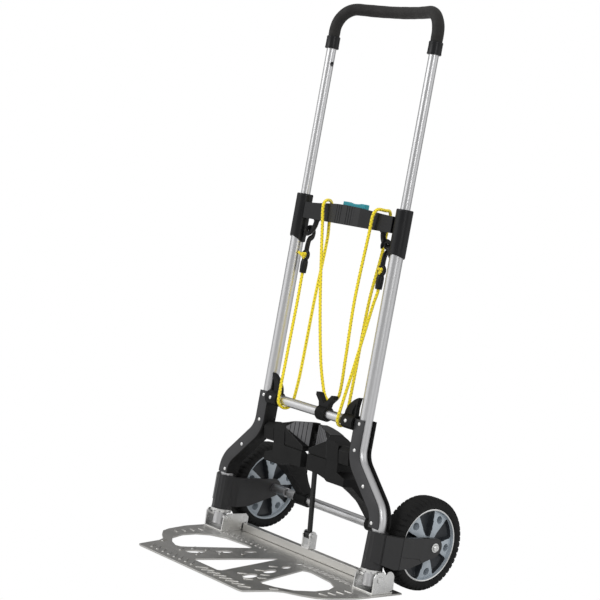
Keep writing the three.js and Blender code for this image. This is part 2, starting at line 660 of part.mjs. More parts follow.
function wheels() {
  const half = WHEEL_WIDE / 2;
  const at = (profile) => profile.map(([r, x]) => [r, x + WHEEL_X]);
  const tyre = turned(at([
    [RIM_R, -half + 1],
    [RIM_R, half - 1],
    [RIM_R + 6, half],
    [WHEEL_R - 5, half],
    [WHEEL_R - 1, half - 5],
    [WHEEL_R, half - 12],
    [WHEEL_R, -half + 12],
    [WHEEL_R - 1, -half + 5],
    [WHEEL_R - 5, -half],
    [RIM_R + 6, -half],
    [RIM_R, -half + 1],
  ]), WHEEL_BACK, AXLE_Z, 40);
  pair(frame, "tyre", tyre, DARK);

  const rimR = RIM_R - FIT;
  const barrel = turned(at([
    [rimR - 4, -half + 2],
    [rimR - 4, half - 2],
    [rimR, half - 2],
    [rimR, -half + 2],
    [rimR - 4, -half + 2],
  ]), WHEEL_BACK, AXLE_Z, 40);
  const hub = rod("x", 15, WHEEL_X - half + 3, WHEEL_X + half - 3, WHEEL_BACK, AXLE_Z, 20);
  const disc = rod("x", rimR - 3, WHEEL_X - 4, WHEEL_X + 4, WHEEL_BACK, AXLE_Z, 40);
  const spokes = [];
  const holes = [];
  for (let i = 0; i < SPOKES; i++) {
    const a = (i * 360) / SPOKES - 11;
    const wedge = slab("side", [
      [8, -5],
      [rimR - 5, -18.5],
      [rimR - 5, 18.5],
      [8, 5],
    ], WHEEL_X - half + 4, WHEEL_X + half - 4);
    spokes.push(wedge.rotate([a, 0, 0]).translate([0, WHEEL_BACK, AXLE_Z]));
    holes.push(rod("x", 6.5, WHEEL_X - 40, WHEEL_X + 40, 52, 0, 12).rotate([a, 0, 0])
      .translate([0, WHEEL_BACK, AXLE_Z]));
  }
  const bore = rod("x", BUSH_R + FIT, WHEEL_X - 40, WHEEL_X + 40, WHEEL_BACK, AXLE_Z, 16);
  pair(frame, "wheel_rim", cut(join(barrel, hub, disc, ...spokes), ...holes, bore), GREY);
  const bush = cut(
    rod("x", BUSH_R, WHEEL_X - half + 1, WHEEL_X + half - 1, WHEEL_BACK, AXLE_Z, 16),
    rod("x", BOLT_R + FIT, WHEEL_X - 40, WHEEL_X + 40, WHEEL_BACK, AXLE_Z, 16),
  );
  pair(frame, "wheel_bush", bush, DARK);
}

// ---- toe plate and what is riveted to it ----
function toePlate() {
  const right = [
    [TOE_HALF_FRONT - 9, TOE_FRONT],
    [TOE_HALF_FRONT - 2, TOE_FRONT + 3],
    [TOE_HALF_FRONT, TOE_FRONT + 10],
    [164, -180],
    [174, -163],
    [201, -146],
    [222, -128],
    [233, -106],
    [TOE_HALF_BACK - 1, -58],
    [TOE_HALF_BACK, -40],
    [TOE_HALF_BACK, TOE_BACK],
  ];
  const left = right.map(([x, y]) => [-x, y]).reverse();
  const sheet = slab("plan", [...right, ...left], 0, TOE_THICK);
  const side = [
    [74, -30],
    [80, -24],
    [92, -22],
    [150, -30],
    [178, -46],
    [191, -72],
    [191, -104],
    [176, -140],
    [150, -160],
    [126, -170],
    [116, -166],
    [111, -154],
  ];
  const dOpening = slab("plan", side.reverse(), -5, 10);
  const wedge = slab("plan", [
    [0, -28],
    [-5, -32],
    [-38, -190],
    [-34, -197],
    [34, -197],
    [38, -190],
    [5, -32],
  ], -5, 10);
  const ovals = [
    [39, -6, 13, 4.5],
    [52, -50, 13, 6.5],
    [66, -102, 18, 8.5],
    [80, -160, 20, 10],
  ].flatMap(([x, y, long, wide]) =>
    [-1, 1].map((side_) => {
      const slope = Math.atan2(41, 154);
      const points = arc(0, 0, 1, 0, 345, 23).map(([u, v]) => {
        const a = u * wide;
        const b = v * long;
        return [
          side_ * (x + a * Math.cos(slope) - b * Math.sin(slope)),
          y + a * Math.sin(slope) + b * Math.cos(slope),
        ];
      });
      return slab("plan", side_ > 0 ? points : points.reverse(), -5, 10);
    }),
  );
  piece(hand_truck, "toe_plate", cut(sheet, dOpening, mirrored(dOpening), wedge, ...ovals), SHEET());

  const top = TOE_THICK + FIT;
  const rail = box(-RAIL_HALF, RAIL_HALF, RAIL_Y - RAIL_WIDE / 2, RAIL_Y + RAIL_WIDE / 2, top, top + RAIL_HIGH);
  const railHole = box(-RAIL_HALF - 5, RAIL_HALF + 5, RAIL_Y - RAIL_WIDE / 2 + 1.6, RAIL_Y + RAIL_WIDE / 2 - 1.6,
    top + 1.6, top + RAIL_HIGH - 1.6);
  piece(hand_truck, "rear_rail", cut(rail, railHole), ALUMINIUM());
}

const RAIL_HALF = 186;
const FLANGE = 2.4;
const FLANGE_IN = FORK_HALF - 26.6; // inboard face of the inboard flange
const FLANGE_OUT = FORK_HALF + 25.6; // outboard face of the outboard flange
const hingeY = HINGE_Z * Math.sin(lean);
const hingeZ = HINGE_Z * Math.cos(lean);

function brackets() {
  const low = TOE_THICK + FIT;
  const inboard = slab("side", [
    [-12, low],
    [44, low],
    [46, low + 8],
    [52, low + 12],
    [53, 30],
    [46, 37],
    [2, 38],
    [-5, 35],
    [-10, 30],
  ], FLANGE_IN, FLANGE_IN + FLANGE);
  const outboard = slab("side", [
    [-13, low],
    [20, low],
    [38, low + 6],
    [36, 34],
    [32, 40],
    [26, 43],
    [20, 43],
    [16, 38],
    [12, 38],
    [9, 43],
    [-2, 43],
    [-5, 39],
    [-9, 40],
    [-13, 34],
  ], FLANGE_OUT - FLANGE, FLANGE_OUT);
  const base = box(FLANGE_IN, FLANGE_OUT, -12, 36, low, low + FLANGE);
  const pinHole = rod("x", PIN_R + FIT, FLANGE_IN - 5, FLANGE_OUT + 5, hingeY, hingeZ, 16);
  pair(hand_truck, "hinge_bracket", cut(join(inboard, outboard, base), pinHole), STEEL);
  const pin = join(
    rod("x", PIN_R, FLANGE_IN - 2, FLANGE_OUT + 2, hingeY, hingeZ, 16),
    rod("x", PIN_R + 2.5, FLANGE_OUT + FIT, FLANGE_OUT + 2.5, hingeY, hingeZ, 16),
    rod("x", PIN_R + 2.5, FLANGE_IN - 2.5, FLANGE_IN - FIT, hingeY, hingeZ, 16),
  );
  pair(hand_truck, "hinge_pin", pin, STEEL);
}

// ---- strut between the toe plate and the crown's slot ----
const STRUT_HALF = 4;
const EYE_R = 7;

function strut() {
  const low = TOE_THICK + 2 * FIT + RAIL_HIGH;
  const inside = STRUT_HALF + 4;
  const outside = inside + FLANGE;
  const cheek = slab("side", [
    [RAIL_Y - 9, low],
    [RAIL_Y + 9, low],
    [RAIL_Y + 9, CLEVIS_Z + 2],
    ...arc(CLEVIS_Y, CLEVIS_Z, 9, 10, 170, 6),
    [RAIL_Y - 9, CLEVIS_Z - 4],
  ], -outside, outside);
  const way = box(-inside, inside, 0, 100, low + FLANGE, 100);
  const pinHole = rod("x", 2.5 + FIT, -50, 50, CLEVIS_Y, CLEVIS_Z, 12);
  piece(hand_truck, "strut_clevis", cut(cheek, way, pinHole), STEEL());
  const pin = join(
    rod("x", 2.5, -outside - 2, outside + 2, CLEVIS_Y, CLEVIS_Z, 12),
    rod("x", 4.5, outside + FIT, outside + 2, CLEVIS_Y, CLEVIS_Z, 12),
    rod("x", 4.5, -outside - 2, -outside - FIT, CLEVIS_Y, CLEVIS_Z, 12),
  );
  piece(hand_truck, "strut_pin", pin, STEEL());

  const tilt = Math.atan2(CLEVIS_Y - STRUT_TOP_Y, STRUT_TOP_Z - CLEVIS_Z);
  const reach = Math.hypot(CLEVIS_Y - STRUT_TOP_Y, STRUT_TOP_Z - CLEVIS_Z);
  const bar = join(
    rod("x", EYE_R, -STRUT_HALF - 2.5, STRUT_HALF + 2.5, 0, 0, 16),
    box(-STRUT_HALF, STRUT_HALF, -3, 3, 0, reach - 4),
    box(-STRUT_HALF - 2, STRUT_HALF + 2, -4, 4, reach - 14, reach),
  );
  const eye = rod("x", 2.5 + SLIDE_FIT, -20, 20, 0, 0, 12);
  const strutAxes = new THREE.Group();
  strutAxes.position.set(0, CLEVIS_Y, CLEVIS_Z);
  strutAxes.rotation.x = tilt;
  hand_truck.add(strutAxes);
  piece(strutAxes, "strut", cut(bar, eye), BLACK());
}

// ---- elastic cord: from one hook down, round the cross tube, over the crossbar, through the clip and back ----
const HOOK_X = 104; // where each cord hook hangs on the crossbar's prong
const HOOK_Y = 0.5;
const HOOK_Z = 604.6;
const CUP_LOW = 528;

function cord() {
  const wrap = CROSS_R + CORD_R + 1;
  const around = (x0, x1, a0, a1) =>
    arc(CROSS_Y, CROSS_Z, wrap, a0, a1, 5).map(([y, z], i) => [x0 + ((x1 - x0) * i) / 5, y, z]);
  const over = BAR_HIGH + 8;
  const behind = CROSS_Y + 6 + CORD_R + FIT; // the cord runs behind the clip's prongs
  const points = [
    [-HOOK_X, HOOK_Y, CUP_LOW - FIT],
    [-HOOK_X, HOOK_Y, CUP_LOW - 8],
    [-96, -6, 476],
    [-90, -14, 361],
    ...around(-82, -70, 180, 360),
    [-64, 4, 340],
    [-68, 10, 482],
    [-76, BAR_BACK + 5, 600],
    [-79, BAR_BACK + CORD_R + 1, 640],
    [-78, BAR_BACK + CORD_R + 1, over - 9],
    [-76, BAR_BACK - 2, over],
    [-66, 0, over + 2],
    [-57, -14, over + 1],
    [-55, -21.5, over - 4],
    [-53, BAR_FRONT - CORD_R - 1, over - 14],
    [-48, BAR_FRONT - CORD_R - 1, BAR_LOW],
    [-21, -19, 487],
    [-1, -9, 378],
    [CLIP_X - 21, behind, CROSS_Z + 38],
    [CLIP_X - 9, behind, CROSS_Z + 25],
    [CLIP_X + 9, behind, CROSS_Z + 25],
    [CLIP_X + 21, behind, CROSS_Z + 38],
    [64, -10, 390],
    [70, -20, 501],
    [77, BAR_FRONT - CORD_R + 2, BAR_LOW],
    [79, BAR_FRONT - CORD_R + 1, over - 14],
    [81, -19.5, over - 4],
    [82, -13, over],
    [84, 2, over],
    [82, BAR_BACK - 2, over],
    [80, BAR_BACK + CORD_R + 1, over - 9],
    [79, BAR_BACK + CORD_R + 1, 640],
    [77, BAR_BACK + 3, 590],
    [77, 10, 505],
    [81, 4, 370],
    ...around(79, 84, 360, 180),
    [92, -14, 380],
    [100, -7, 500],
    [HOOK_X, HOOK_Y, CUP_LOW - 8],
    [HOOK_X, HOOK_Y, CUP_LOW - FIT],
  ].map(([x, y, z]) => new THREE.Vector3(x, y, z));
  piece(frame, "bungee_cord", sweep(points, CORD_R, 0, 8), CORD());

  const curl = slab("side", [
    ...arc(HOOK_Y, HOOK_Z, 12.9, -85, 210, 12),
    ...arc(HOOK_Y, HOOK_Z, 8.8, 210, -85, 12),
  ], HOOK_X - 2.5, HOOK_X + 2.5);
  const stem = box(HOOK_X - 2.5, HOOK_X + 2.5, HOOK_Y - 3.6, HOOK_Y + 3.6, 548, HOOK_Z - 9.5);
  const cup = rod("z", 7, CUP_LOW, 552, HOOK_X, HOOK_Y, 16, 5.5);
  pair(frame, "cord_hook", join(curl, stem, cup), BLACK);
}

frameTubes();
sideCovers();
crossTube();
cordClip();
tubeHousings();
crossbarShells();
release();
handle();
crown();
rearLegs();
forks();
wheels();
toePlate();
brackets();
strut();
cord();

export default hand_truck;
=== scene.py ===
"""A folding aluminium hand truck with its toe plate down and its handle out.

Lengths in this script are millimetres until mesh() writes them as metres. Points of the frame are
given in the frame's own axes: x across, y back from the tubes' plane, s up along the tubes.
"""

import math

import bpy
import bmesh
import numpy as np
from mathutils import Matrix, Vector


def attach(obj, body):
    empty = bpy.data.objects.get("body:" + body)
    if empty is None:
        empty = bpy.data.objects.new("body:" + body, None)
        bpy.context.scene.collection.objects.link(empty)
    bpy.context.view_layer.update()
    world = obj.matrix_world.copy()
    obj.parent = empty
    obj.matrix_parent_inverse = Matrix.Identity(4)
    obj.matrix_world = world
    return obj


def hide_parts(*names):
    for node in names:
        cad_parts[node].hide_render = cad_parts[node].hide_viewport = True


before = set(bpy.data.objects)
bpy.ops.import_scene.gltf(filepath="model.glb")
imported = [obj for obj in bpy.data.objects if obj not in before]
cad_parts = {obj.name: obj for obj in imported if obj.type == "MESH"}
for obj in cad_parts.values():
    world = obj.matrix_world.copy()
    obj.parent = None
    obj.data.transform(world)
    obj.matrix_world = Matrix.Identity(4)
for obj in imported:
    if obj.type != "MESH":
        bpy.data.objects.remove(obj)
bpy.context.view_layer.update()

LEAN = math.radians(3.2)
SIDES = (("left", -1), ("right", 1))
WHITE = (1, 1, 1, 1)

# Sizes that several pieces share, in millimetres
TUBE_X = 135  # from the middle to a tube, above its bends
FOOT_X = 215  # and below them
LOCK_S = 654  # height of the lock holes with the handle out
HOLE_R = 4.5
CROSS_AT = (0, -8.7, 285)  # middle of the upper cross tube
AXLE_AT = (0, 106.7, 92)  # middle of the axle
HOOK_X = 104  # from the middle to a cord hook
WHEEL_X = 222  # from the middle to the middle of a wheel
_, CROSS_Y, CROSS_S = CROSS_AT
_, AXLE_Y, AXLE_S = AXLE_AT


def direction(azimuth, elevation):
    """The unit vector at an azimuth (from the front towards the right) and an elevation, in degrees."""
    a, e = math.radians(azimuth), math.radians(elevation)
    return Vector((math.sin(a) * math.cos(e), -math.cos(a) * math.cos(e), math.sin(e)))


# ---- camera: low and to the front right, rolled a little, with the lens shifted ----
camera = bpy.data.objects.new("camera", bpy.data.cameras.new("camera"))
bpy.context.scene.collection.objects.link(camera)
camera.data.lens = 96.6
camera.data.sensor_width = 36
camera.data.shift_x = -0.0329
camera.data.shift_y = 0.0592
camera.data.clip_end = 50
backward = direction(47.18, 6.05)
roll = math.radians(7.98)
level = (-backward).cross(Vector((0, 0, 1))).normalized()
above = level.cross(-backward)
across = level * math.cos(roll) + above * math.sin(roll)
upward = above * math.cos(roll) - level * math.sin(roll)
facing = Matrix((across, upward, backward)).transposed().to_4x4()
camera.matrix_world = Matrix.Translation((2.15828, -1.99991, 0.73564)) @ facing
bpy.context.scene.camera = camera


# ---- mesh helpers ----
def leaned(points):
    """Frame points (x, y, s) in row axes: turned about x by the lean, so s tips toward +y."""
    p = np.asarray(points, float)
    y = p[..., 1] * math.cos(LEAN) + p[..., 2] * math.sin(LEAN)
    z = p[..., 2] * math.cos(LEAN) - p[..., 1] * math.sin(LEAN)
    return np.stack([p[..., 0], y, z], -1)


def linked(name, data):
    """A new object in the scene."""
    made = bpy.data.objects.new(name, data)
    bpy.context.scene.collection.objects.link(made)
    return made


def shade(data, smooth=35):
    """Smooth shading; edges sharper than smooth degrees stay crisp."""
    data.polygons.foreach_set("use_smooth", [True] * len(data.polygons))
    data.set_sharp_from_angle(angle=math.radians(smooth))


def mesh(name, points, faces, material, smooth=35, uv=None):
    """An object from points in millimetres and faces, turned to face out."""
    data = bpy.data.meshes.new(name)
    data.from_pydata((np.asarray(points, float) / 1000).tolist(), [], [list(map(int, f)) for f in faces])
    if uv is not None:
        layer = data.uv_layers.new(name="UVMap")
        layer.data.foreach_set("uv", np.asarray(uv, float).ravel())
    data.validate()
    if volume(data) < 0:
        data.flip_normals()
    shade(data, smooth)
    for m in material if isinstance(material, (list, tuple)) else [material]:
        data.materials.append(m)
    return linked(name, data)


def volume(data):
    """Signed volume of a closed mesh: the sum of a sixth of each corner fan's triple product."""
    total = 0.0
    for f in data.polygons:
        v = [data.vertices[i].co for i in f.vertices]
        for i in range(1, len(v) - 1):
            total += v[0].dot(v[i].cross(v[i + 1])) / 6
    return total


def grid_faces(rows, cols, close_rows=False, close_cols=False, start=0):
    """Quads of a grid of points, numbered row by row, with its ends joined where asked."""
    faces = []
    for i in range(rows if close_rows else rows - 1):
        for j in range(cols if close_cols else cols - 1):
            a, b = i % rows, (i + 1) % rows
            c, d = j % cols, (j + 1) % cols
            faces.append([start + a * cols + c, start + a * cols + d, start + b * cols + d, start + b * cols + c])
    return faces


def capped(rows, cols):
    """Quads along a run of closed rings, with a flat face at each end."""
    last = (rows - 1) * cols
    return grid_faces(rows, cols, close_cols=True) + [list(range(cols))[::-1], [last + j for j in range(cols)]]


def prism(n):
    """Faces between two loops of n points, and the loops themselves."""
    sides = [[k, k + n, (k + 1) % n + n, (k + 1) % n] for k in range(n)]
    return [list(range(n)), list(range(n, 2 * n))[::-1]] + sides


def rounded(corners, step=4):
    """A line through corners (x, y, s, radius), each turned on an arc of its radius, in small steps."""
    at = [np.array(c[:3], float) for c in corners]
    line = [at[0]]
    for i in range(1, len(at) - 1):
        back = at[i - 1] - at[i]
        on = at[i + 1] - at[i]
        back, on = back / np.linalg.norm(back), on / np.linalg.norm(on)
        bend = math.pi - math.acos(np.clip(back @ on, -1, 1))
        radius = corners[i][3]
        middle = back + on
        middle = middle / np.linalg.norm(middle)
        centre = at[i] + middle * radius / math.cos(bend / 2)
        first = at[i] + back * radius * math.tan(bend / 2) - centre
        last = at[i] + on * radius * math.tan(bend / 2) - centre
        count = max(2, int(math.degrees(bend) / step))
        for k in range(count + 1):
            share = k / count
            p = (math.sin((1 - share) * bend) * first + math.sin(share * bend) * last) / math.sin(bend)
            line.append(centre + p)
    line.append(at[-1])
    return np.array(line)


def distance(line):
    """How far along a line each of its points lies."""
    return np.concatenate([[0], np.cumsum(np.linalg.norm(np.diff(line, axis=0), axis=1))])


def tangents(line):
    """The unit direction of a line at each of its points."""
    ahead = np.gradient(line, axis=0)
    return ahead / np.linalg.norm(ahead, axis=1)[:, None]


def even(line, spacing):
    """The same line with points at even spacing."""
    line = np.asarray(line, float)
    at = distance(line)
    want = np.linspace(0, at[-1], max(2, int(at[-1] / spacing) + 1))
    return np.stack([np.interp(want, at, line[:, k]) for k in range(3)], 1)


def curved(points, count=12):
    """A smooth line through points: a cubic between each two, which share a slope at each point."""
    p = np.asarray(points, float)
    slope = np.gradient(p, axis=0)
    out = []
    for i in range(len(p) - 1):
        d = np.linalg.norm(p[i + 1] - p[i])
        m0 = slope[i] / max(np.linalg.norm(slope[i]), 1e-9) * d * 0.9
        m1 = slope[i + 1] / max(np.linalg.norm(slope[i + 1]), 1e-9) * d * 0.9
        for t in np.linspace(0, 1, count, endpoint=False):
            out.append(
                (2 * t**3 - 3 * t**2 + 1) * p[i]
                + (t**3 - 2 * t**2 + t) * m0
                + (3 * t**2 - 2 * t**3) * p[i + 1]
                + (t**3 - t**2) * m1
            )
    out.append(p[-1])
    return np.array(out)


def carried(line):
    """Sideways and upward directions along a line, each turned only as far as the line turns."""
    ahead = tangents(line)
    side = np.cross(ahead[0], [0, 1, 0])
    if np.linalg.norm(side) < 0.1:
        side = np.cross(ahead[0], [1, 0, 0])
    side /= np.linalg.norm(side)
    sides, ups = [], []
    for t in ahead:
        side = side - t * (side @ t)
        side = side / np.linalg.norm(side)
        sides.append(side)
        ups.append(np.cross(t, side))
    return np.array(sides), np.array(ups)


def oval(wide, tall, n):
    a = np.linspace(0, 2 * math.pi, n, endpoint=False)
    return np.stack([wide * np.cos(a), tall * np.sin(a)], 1)


def circle(r, n=32):
    return oval(r, r, n)


def sweep(name, line, section, material, scale=None):
    """A closed section (side, up) carried along a line, with flat ends. UVs: along in metres, around in turns."""
    line = np.asarray(line, float)
    sides, ups = carried(line)
    scale = np.ones(len(line)) if scale is None else np.asarray(scale, float)
    points = (
        line[:, None]
        + section[None, :, :1] * sides[:, None] * scale[:, None, None]
        + section[None, :, 1:] * ups[:, None] * scale[:, None, None]
    )
    rows, cols = len(line), len(section)
    at = distance(line) / 1000
    uv = []
    for i in range(rows - 1):
        for j in range(cols):
            a, b = j / cols, (j + 1) / cols
            uv += [(at[i], a), (at[i], b), (at[i + 1], b), (at[i + 1], a)]
    uv += [(0, 0)] * (2 * cols)
    return mesh(name, leaned(points.reshape(-1, 3)), capped(rows, cols), material, uv=uv)


def pipe(name, line, r, wall, material, n=40):
    """A tube with a wall: the outside, the inside and a ring at each end."""
    line = np.asarray(line, float)
    sides, ups = carried(line)
    points = []
    for radius in (r, r - wall):
        ring = circle(radius, n)
        points.append(line[:, None] + ring[None, :, :1] * sides[:, None] + ring[None, :, 1:] * ups[:, None])
    rows = len(line)
    outer = grid_faces(rows, n, close_cols=True)
    inner = [f[::-1] for f in grid_faces(rows, n, close_cols=True, start=rows * n)]
    rims = []
    last = (rows - 1) * n
    for j in range(n):
        k = (j + 1) % n
        rims.append([j, rows * n + j, rows * n + k, k])
        rims.append([last + k, rows * n + last + k, rows * n + last + j, last + j])
    points = np.concatenate([p.reshape(-1, 3) for p in points])
    return mesh(name, leaned(points), outer + inner + rims, material, 30)


def lathe(name, profile, centre, axis, material, n=72):
    """A closed profile of (radius, along) turned about an axis: "x", or "s" for the frame's own length."""
    profile = np.asarray(profile, float)
    a = np.linspace(0, 2 * math.pi, n, endpoint=False)[:, None]
    r, t = profile[None, :, 0], profile[None, :, 1]
    flat = np.zeros_like(a * r)
    if axis == "x":
        points = np.stack([t + flat, r * np.cos(a), r * np.sin(a)], -1)
    else:
        points = np.stack([r * np.cos(a), r * np.sin(a), t + flat], -1)
    points = (points + np.asarray(centre, float)).reshape(-1, 3)
    return tidy(mesh(name, leaned(points), grid_faces(n, len(profile), True, True), material, 30), 30)


def sided(profile, x):
    """A profile of (radius, along) on the side x, in the reverse order on the left."""
    return [(r, x * t) for r, t in profile][:: 1 if x > 0 else -1]


def tidy(made, smooth=35):
    """Merges doubled points, such as a profile's on its axis, and faces all sides out."""
    b = bmesh.new()
    b.from_mesh(made.data)
    bmesh.ops.remove_doubles(b, verts=b.verts, dist=2e-6)
    bmesh.ops.dissolve_degenerate(b, edges=b.edges, dist=1e-6)
    bmesh.ops.recalc_face_normals(b, faces=b.faces)
    b.to_mesh(made.data)
    b.free()
    shade(made.data, smooth)
    return made


def mirrored(data):
    """The mesh data on the other side of the middle."""
    data.transform(Matrix.Diagonal((-1, 1, 1, 1)))
    data.flip_normals()


def bake(made):
    """The object's mesh with its modifiers applied."""
    bpy.context.view_layer.update()
    seen = made.evaluated_get(bpy.context.evaluated_depsgraph_get())
    fresh = bpy.data.meshes.new_from_object(seen)
    made.modifiers.clear()
    made.data = fresh


def cut(made, *tools):
    """The object with the tools taken away from it."""
    for tool in tools:
        m = made.modifiers.new("cut", "BOOLEAN")
        m.operation = "DIFFERENCE"
        m.object = tool
        m.solver = "EXACT"
    bake(made)
    for tool in tools:
        bpy.data.objects.remove(tool)
    made.data.set_sharp_from_angle(angle=math.radians(35))
    return made


def bevel(made, width, least, segments=3):
    """Rounds edges over least degrees; the modifier is returned so that more can be set before bake()."""
    m = made.modifiers.new("edge", "BEVEL")
    m.width, m.segments = width / 1000, segments
    m.limit_method, m.angle_limit = "ANGLE", math.radians(least)
    return m


def flatten(made):
    """Shading normals that follow the large faces, so that flat sheets don't look pillowed."""
    m = made.modifiers.new("normals", "WEIGHTED_NORMAL")
    m.keep_sharp, m.weight = True, 100
    bake(made)
    return made


def refined(node, material, width=0.8, segments=3, smooth=35, least=32):
    """The CAD node's solid with its edges over least degrees rounded to the width."""
    b = bmesh.new()
    b.from_mesh(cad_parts[node].data)
    bmesh.ops.remove_doubles(b, verts=b.verts, dist=1e-6)
    bmesh.ops.dissolve_limit(b, angle_limit=math.radians(1), verts=b.verts, edges=b.edges)
    data = bpy.data.meshes.new(node + "_shape")
    b.to_mesh(data)
    b.free()
    made = linked(node + "_shape", data)
    m = bevel(made, width, least, segments)
    m.use_clamp_overlap = True
    m.miter_outer = "MITER_ARC"
    bake(made)
    made.data.materials.clear()
    made.data.materials.append(material)
    made.data.polygons.foreach_set("material_index", [0] * len(made.data.polygons))
    shade(made.data, smooth)
    flatten(made)
    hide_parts(node)
    return made


def joined(name, parts):
    """Several objects as one."""
    b = bmesh.new()
    for part in parts:
        b.from_mesh(part.data)
    data = bpy.data.meshes.new(name)
    b.to_mesh(data)
    b.free()
    for m in parts[0].data.materials:
        data.materials.append(m)
    made = linked(name, data)
    for part in parts:
        bpy.data.objects.remove(part)
    made.data.set_sharp_from_angle(angle=math.radians(35))
    return made


def place(made, body, slot, *nodes):
    """Rides on a body and stands for the nodes named; the slot is not used."""
    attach(made, body)
    for node in nodes:
        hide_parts(node)
    return made


# ---- materials: each is a Principled surface with a grain, a mottle in its gloss and a mottle in its colour ----
def surface(name, colour, rough, metal=0.0, grain=(2500, 0.1), gloss=(60, 0.08), tint=(25, 0.08),
            stretch=(1, 1, 1), sheen=0.0, specular=0.5):
    """Grain is a noise bump, gloss and tint are noises (scale per metre, amount), stretched by axis."""
    made = bpy.data.materials.new(name)
    made.use_nodes = True
    tree = made.node_tree
    base = tree.nodes["Principled BSDF"]
    where = tree.nodes.new("ShaderNodeTexCoord")
    fit = tree.nodes.new("ShaderNodeMapping")
    fit.inputs["Scale"].default_value = stretch
    tree.links.new(where.outputs["Object"], fit.inputs["Vector"])

    def noise(scale, detail):
        n = tree.nodes.new("ShaderNodeTexNoise")
        n.inputs["Scale"].default_value = scale
        n.inputs["Detail"].default_value = detail
        tree.links.new(fit.outputs["Vector"], n.inputs["Vector"])
        return n.outputs["Fac"]

    def spread(fac, low, high):
        m = tree.nodes.new("ShaderNodeMapRange")
        m.inputs["From Min"].default_value = 0.3
        m.inputs["From Max"].default_value = 0.7
        m.inputs["To Min"].default_value = low
        m.inputs["To Max"].default_value = high
        tree.links.new(fac, m.inputs["Value"])
        return m.outputs["Result"]

    bump = tree.nodes.new("ShaderNodeBump")
    bump.inputs["Strength"].default_value = grain[1]
    bump.inputs["Distance"].default_value = 0.0005
    tree.links.new(noise(grain[0], 3), bump.inputs["Height"])
    tree.links.new(bump.outputs["Normal"], base.inputs["Normal"])
    tree.links.new(spread(noise(gloss[0], 4), rough - gloss[1], rough + gloss[1]), base.inputs["Roughness"])
    mix = tree.nodes.new("ShaderNodeMix")
    mix.data_type = "RGBA"
    mix.inputs["A"].default_value = (*[c * (1 - tint[1]) for c in colour], 1)
    mix.inputs["B"].default_value = (*[min(1, c * (1 + tint[1])) for c in colour], 1)
    tree.links.new(spread(noise(tint[0], 5), 0, 1), mix.inputs["Factor"])
    tree.links.new(mix.outputs["Result"], base.inputs["Base Color"])
    base.inputs["Metallic"].default_value = metal
    base.inputs["Sheen Weight"].default_value = sheen
    base.inputs["Specular IOR Level"].default_value = specular
    return made


TUBE = surface("anodised_tube", (0.74, 0.74, 0.75), 0.36, 1, (9000, 0.0), (40, 0.02), (30, 0.03), (1, 1, 0.03))
CROSS = surface("anodised_cross_tube", (0.72, 0.72, 0.73), 0.36, 1, (9000, 0.0), (40, 0.02), (30, 0.03), (0.03, 1, 1))
SHEET = surface("pressed_sheet", (0.68, 0.67, 0.645), 0.42, 1, (3000, 0.04), (150, 0.04), (18, 0.06), (0.12, 1, 1))
ZINC = surface("bright_zinc", (0.88, 0.88, 0.87), 0.3, 1, (2500, 0.03), (90, 0.05), (60, 0.06))
RIVET = surface("rivet_aluminium", (0.93, 0.93, 0.92), 0.42, 0.8, (3000, 0.03), (90, 0.03), (60, 0.03))
BLACK = surface("grained_black", (0.007, 0.007, 0.007), 0.5, 0, (2600, 0.2), (50, 0.05), (20, 0.15), specular=0.22)
STRIP = surface("grained_dark_grey", (0.036, 0.036, 0.038), 0.42, 0, (2600, 0.18), (50, 0.05), (20, 0.12),
                specular=0.4)
FORK = surface("streaked_black", (0.024, 0.024, 0.025), 0.38, 0, (2200, 0.16), (50, 0.06), (20, 0.15), (1, 1, 0.25),
               specular=0.4)
SATIN = surface("satin_black", (0.009, 0.009, 0.010), 0.34, 0, (1800, 0.05), (40, 0.04), (20, 0.1), specular=0.3)
PAINT = surface("black_paint", (0.008, 0.008, 0.008), 0.3, 0, (700, 0.05), (60, 0.05), (40, 0.1), specular=0.4)
FOAM = surface("closed_cell_foam", (0.014, 0.013, 0.012), 0.7, 0, (900, 0.5), (200, 0.1), (40, 0.2), sheen=0.06,
               specular=0.35)
TYRE = surface("solid_rubber", (0.008, 0.008, 0.008), 0.62, 0, (1500, 0.22), (80, 0.08), (30, 0.15), specular=0.2)
RIM = surface("grey_rim", (0.36, 0.405, 0.445), 0.34, 0, (2000, 0.05), (60, 0.05), (25, 0.05), specular=0.5)
# Painted shade: a near-black colour for the recesses between the rim's wedges, standing in for the shade that falls
# there; the rim itself is the grey RIM.
VALLEY_SHADE = surface("painted_valley_shade", (0.028, 0.032, 0.037), 0.4, 0, (2000, 0.05), (60, 0.05), (25, 0.08), specular=0.4)
PAD = surface("ribbed_grey_pad", (0.12, 0.12, 0.125), 0.34, 0, (2400, 0.06), (60, 0.05), (20, 0.06), specular=0.5)
PANEL = surface("grey_panel", (0.022, 0.022, 0.023), 0.4, 0, (2400, 0.12), (50, 0.05), (20, 0.08), specular=0.3)
TEAL = surface("teal_plastic", (0.004, 0.27, 0.33), 0.34, 0, (1800, 0.04), (60, 0.04), (20, 0.05), specular=0.5)


# ---- frame tubes: 25 mm tube, bent out at the bottom, with a lock hole on the inner side ----
def tube_line(x, low, high):
    corners = [(FOOT_X, low, 0), (FOOT_X, 142, 50), (TUBE_X, 222, 50), (TUBE_X, high, 0)]
    return rounded([(x * u, 0, s, radius) for u, s, radius in corners], 2.5)


def peg(x, y, s, r, length, axis="x"):
    """A cutting rod centred on a frame point."""
    profile = [(0, -length / 2), (r, -length / 2), (r, length / 2), (0, length / 2)]
    return lathe("peg", profile, (x, y, s), axis, TUBE, 32)


for side, x in SIDES:
    tube = pipe(side + "_lower_tube_shape", tube_line(x, 14, 667), 12.5, 1.6, TUBE, 48)
    cut(tube, peg(x * 126, 0, LOCK_S, HOLE_R, 20))
    place(tube, "frame", "tube_aluminium", side + "_lower_tube")


